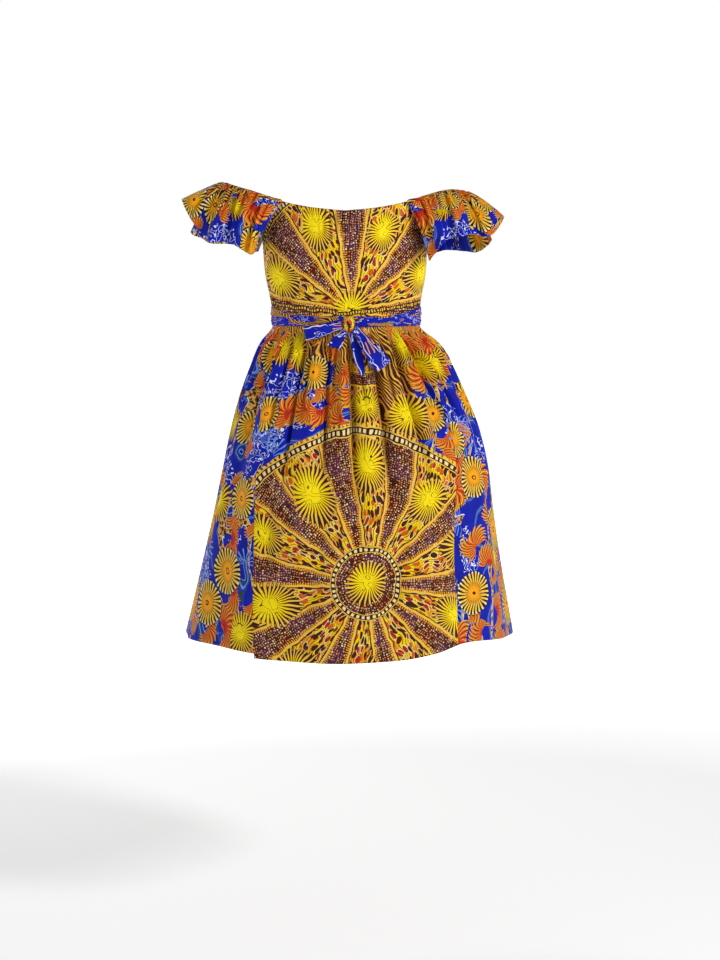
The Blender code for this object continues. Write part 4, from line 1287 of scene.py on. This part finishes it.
def gold_column(cloth, place, ground):
    """Ground above the wheel: a ray of flames runs on up to the waist, with feathers beside it."""
    u, v = cloth.parts(place)
    feathers = (u < COLUMN_MIDDLE) * (u > v * 0.25 + FEATHERS_SIDE) * (v > FEATHERS_REACH)
    ground = cloth.over(feathers, ground, feather_ground(cloth, place))
    blooms = cloth.polar(nearest(cloth, place, BACK_BLOOMS))
    bloom, on_bloom = plume_fan(cloth, blooms[0] * 0.46, blooms[1], 0.3)
    ground = cloth.over(on_bloom, ground, bloom)
    for burst in BACK_BURSTS:
        slanted = u - burst.u - (v - burst.v) * burst.slant
        local = cloth.place(slanted / burst.half, (v - burst.v) / burst.reach)
        fan, on_fan = sunburst(cloth, *cloth.polar(local), 31)
        ground = cloth.over(on_fan, ground, fan)
    away = (u - COLUMN_MIDDLE).size()
    ray = flames(cloth, v, u)
    ray = cloth.over((v - COLUMN_STRIPE).size() < 0.012, ray, mosaic(cloth, u, v, 0.0040))
    ray = cloth.over(((v - COLUMN_STRIPE).size() - 0.013).size() < 0.0016, ray, "yellow")
    local = cloth.place((u - COLUMN_MIDDLE) / 0.046, (v - COLUMN_BURST) / 0.036)
    burst, on_burst = sunburst(cloth, *cloth.polar(local))
    ray = cloth.over(on_burst, ray, burst)
    ray = cloth.over(away > COLUMN_HALF - 0.002, ray, "straw")
    beside = cloth.over((v / FRINGE_PITCH).rest() < 0.5, "brown", "gold")
    ground = cloth.over(away < COLUMN_HALF + 0.005, ground, beside)
    return cloth.over(away < COLUMN_HALF, ground, ray)


back_print = wheel_print("wheel_print_back", SKIRT_WHEEL, BACK_DAISIES)
bodice_print = wheel_print("wheel_print_bodice", BODICE_WHEEL, BACK_DAISIES[:2])
left_print = plain_print("flower_print_left", LEFT_DAISIES, -0.06)
right_print = plain_print("flower_print_right", RIGHT_DAISIES, -0.06)
left_sleeve_print = plain_print("flower_print_left_sleeve", LEFT_SLEEVE_DAISIES, -0.062)
right_sleeve_print = plain_print("flower_print_right_sleeve", RIGHT_SLEEVE_DAISIES, -0.062)
sash_print = ribbon_print("sash_print", 0.0)
bow_print = ribbon_print("bow_print", 0.0098)
knot_cloth = Cloth("knot_print")
knot_print = cotton_finish(knot_cloth, flames(knot_cloth, knot_cloth.v, knot_cloth.u))

side_trim = float(np.degrees(SEAM_GAP / 2 / SIDE_DEPTH))
side = UNDERARM - side_trim
front_right = Seam(360 + SEAM_FRONT_RIGHT.waist, 360 + SEAM_FRONT_RIGHT.hem)
# Panels of the skirt, each with the run of its hem and the bearing from which its print is laid out
Panel = namedtuple("Panel", "node low high step material hem middle fineness")
PANELS = rows_of(
    Panel,
    ("skirt_back", SEAM_BACK_RIGHT, SEAM_BACK_LEFT, False, back_print, 0.36, 0.0, 2.0),
    ("skirt_side_left", SEAM_BACK_LEFT, SEAM_FRONT_LEFT, True, left_print, 0.56, 0.0, 1.0),
    ("skirt_front", SEAM_FRONT_LEFT, front_right, False, back_print, 0.39, 180.0, 1.0),
    ("skirt_side_right", SEAM_FRONT_RIGHT, SEAM_BACK_RIGHT, False, right_print, 0.52, 0.0, 1.0),
)
sewing = {"sleeves": [], "sash": []}
pieces = {
    "bodice_back": bodice_panel("bodice_back_cloth", -side, side, bodice_print),
    "bodice_front": bodice_panel("bodice_front_cloth", UNDERARM + side_trim, 270 - side_trim, bodice_print),
    "sleeve_left": sleeve("sleeve_left_cloth", 1, LEFT_SLEEVE, left_sleeve_print),
    "sleeve_right": sleeve("sleeve_right_cloth", -1, RIGHT_SLEEVE, right_sleeve_print),
    **{panel.node: skirt_panel(panel) for panel in PANELS},
    "sash_left": sash_half("sash_left_cloth", 1, sash_print),
    "sash_right": sash_half("sash_right_cloth", -1, sash_print),
    "sash_knot": knot(knot_print),
}
for strap in LOOPS:
    pieces[strap.name] = bow_loop(strap, bow_print)
for strap in TAILS:
    pieces[strap.name] = bow_tail(strap, bow_print)

Cut = namedtuple("Cut", "node width length held rests")
CUTS = (
    Cut("bodice_back", 0.42, 0.22, "stretched", ()),
    Cut("bodice_front", 0.44, 0.22, "draped", ()),
    Cut("sleeve_left", 0.58, 0.13, "gathered", ("bodice_back_cloth",)),
    Cut("sleeve_right", 0.56, 0.13, "gathered", ("bodice_back_cloth",)),
    Cut("skirt_back", 0.46, 0.63, "gathered", ("bodice_back_cloth",)),
    Cut("skirt_side_left", 0.40, 0.62, "gathered", ("bodice_back_cloth",)),
    Cut("skirt_front", 0.46, 0.63, "gathered", ("bodice_front_cloth",)),
    Cut("skirt_side_right", 0.40, 0.61, "gathered", ("bodice_back_cloth",)),
    Cut("sash_left", 0.19, 0.034, "folded", ("bodice_back_cloth",)),
    Cut("sash_right", 0.19, 0.034, "folded", ("bodice_back_cloth",)),
    Cut("sash_loop_left", 0.144, 0.024, "folded", ("sash_knot_cloth",)),
    Cut("sash_loop_right", 0.180, 0.031, "folded", ("sash_knot_cloth",)),
    Cut("sash_tail_left", 0.042, 0.021, "hung", ("sash_knot_cloth",)),
    Cut("sash_tail_right", 0.080, 0.024, "hung", ("sash_knot_cloth",)),
)
thread = Cloth("cotton_thread")
thread_place = thread.node("ShaderNodeTexCoord", output=OBJECT_PLACE)
thread_colour = thread.over(thread.noise(thread_place, 900.0) * 2 - 0.5, "brown", "purple")
thread.finish({"Base Color": thread_colour, "Roughness": 0.6})
sewn = [
    stitches("hem_stitches", [hem_line(panel) for panel in PANELS], thread.material),
    stitches("neckline_stitches", [neckline_line(-46, 46), neckline_line(134, 226)], thread.material),
    stitches("sleeve_stitches", sewing["sleeves"], thread.material),
    stitches("sash_stitches", sewing["sash"], thread.material),
]
for panel in PANELS:
    hem_band = turn_up(panel)
    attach(hem_band, "root")
for piece in sewn:
    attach(piece, "root")

GOLD_NODES = ("bodice_back", "bodice_front", "skirt_back", "skirt_front", "sash_knot")
for node, piece in pieces.items():
    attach(piece, "root")
    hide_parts(node)
    "gold_print" if node in GOLD_NODES else "blue_print"
for cut in CUTS:
    others = (pieces["sash_knot"],) if cut.node == "sash_left" else ()

# Floor, light and camera
bpy.ops.object.select_all(action="DESELECT")
bpy.ops.mesh.primitive_plane_add(size=40, location=(0, 0, FLOOR_LEVEL))
floor = bpy.context.object
floor.name = "studio_floor"
paint = Cloth("studio_floor")
# The floor glows though it is no lamp: a dim grey glow near the middle brightens to white further off, over
# its own pale grey colour
away = (paint.length(paint.node("ShaderNodeTexCoord", output=OBJECT_PLACE)) - FLOOR_DIM_GLOW) / FLOOR_FADE
paint.finish({"Emission Color": paint.over(away, "floor", "far floor glow"), "Emission Strength": 1.25})
paint.finish({"Base Color": (0.80, 0.80, 0.80, 1), "Roughness": 0.9, "Specular IOR Level": 0.0})
floor.data.materials.append(paint.material)

world = bpy.data.worlds.new("studio")
world.use_nodes = True
sky = world.node_tree
direction = sky.nodes.new("ShaderNodeTexCoord")
split = sky.nodes.new("ShaderNodeSeparateXYZ")
fade = sky.nodes.new("ShaderNodeMapRange")
sky.links.new(direction.outputs["Generated"], split.inputs[0])
sky.links.new(split.outputs["Z"], fade.inputs["Value"])
sky.links.new(fade.outputs["Result"], sky.nodes["Background"].inputs["Strength"])
for socket, value in (("From Min", 0.13), ("From Max", 0.36), ("To Min", 1.0), ("To Max", 0.20)):
    fade.inputs[socket].default_value = value
sky.nodes["Background"].inputs["Color"].default_value = (1.0, 1.0, 1.0, 1)
bpy.context.scene.world = world
bpy.context.scene.view_settings.view_transform = "Standard"

Lamp = namedtuple("Lamp", "name x y z size power")
LAMPS = (
    Lamp("key_light", -2.8, 2.5, 1.8, 0.7, 106),
    Lamp("side_light", 3.2, 1.6, 0.9, 1.2, 14),
    Lamp("front_light", 1.6, -2.8, 1.8, 1.2, 66),
)
for lamp in LAMPS:
    light = bpy.data.lights.new(lamp.name, "AREA")
    light.size = lamp.size
    light.energy = lamp.power
    holder = bpy.data.objects.new(lamp.name, light)
    bpy.context.scene.collection.objects.link(holder)
    holder.location = (lamp.x, lamp.y, lamp.z)
    aim = -holder.location + type(holder.location)((0, 0, LAMP_AIM))
    holder.rotation_euler = aim.to_track_quat("-Z", "Y").to_euler()

lens = bpy.data.cameras.new("camera")
lens.sensor_width = SENSOR_WIDTH
lens.lens = FOCAL_PIXELS / PHOTO_HEIGHT * SENSOR_WIDTH
camera = bpy.data.objects.new("camera", lens)
bpy.context.scene.collection.objects.link(camera)
camera.location = CAMERA_PLACE
camera.rotation_euler = (radians(90 - CAMERA_TILT), 0, radians(180))
bpy.context.scene.camera = camera
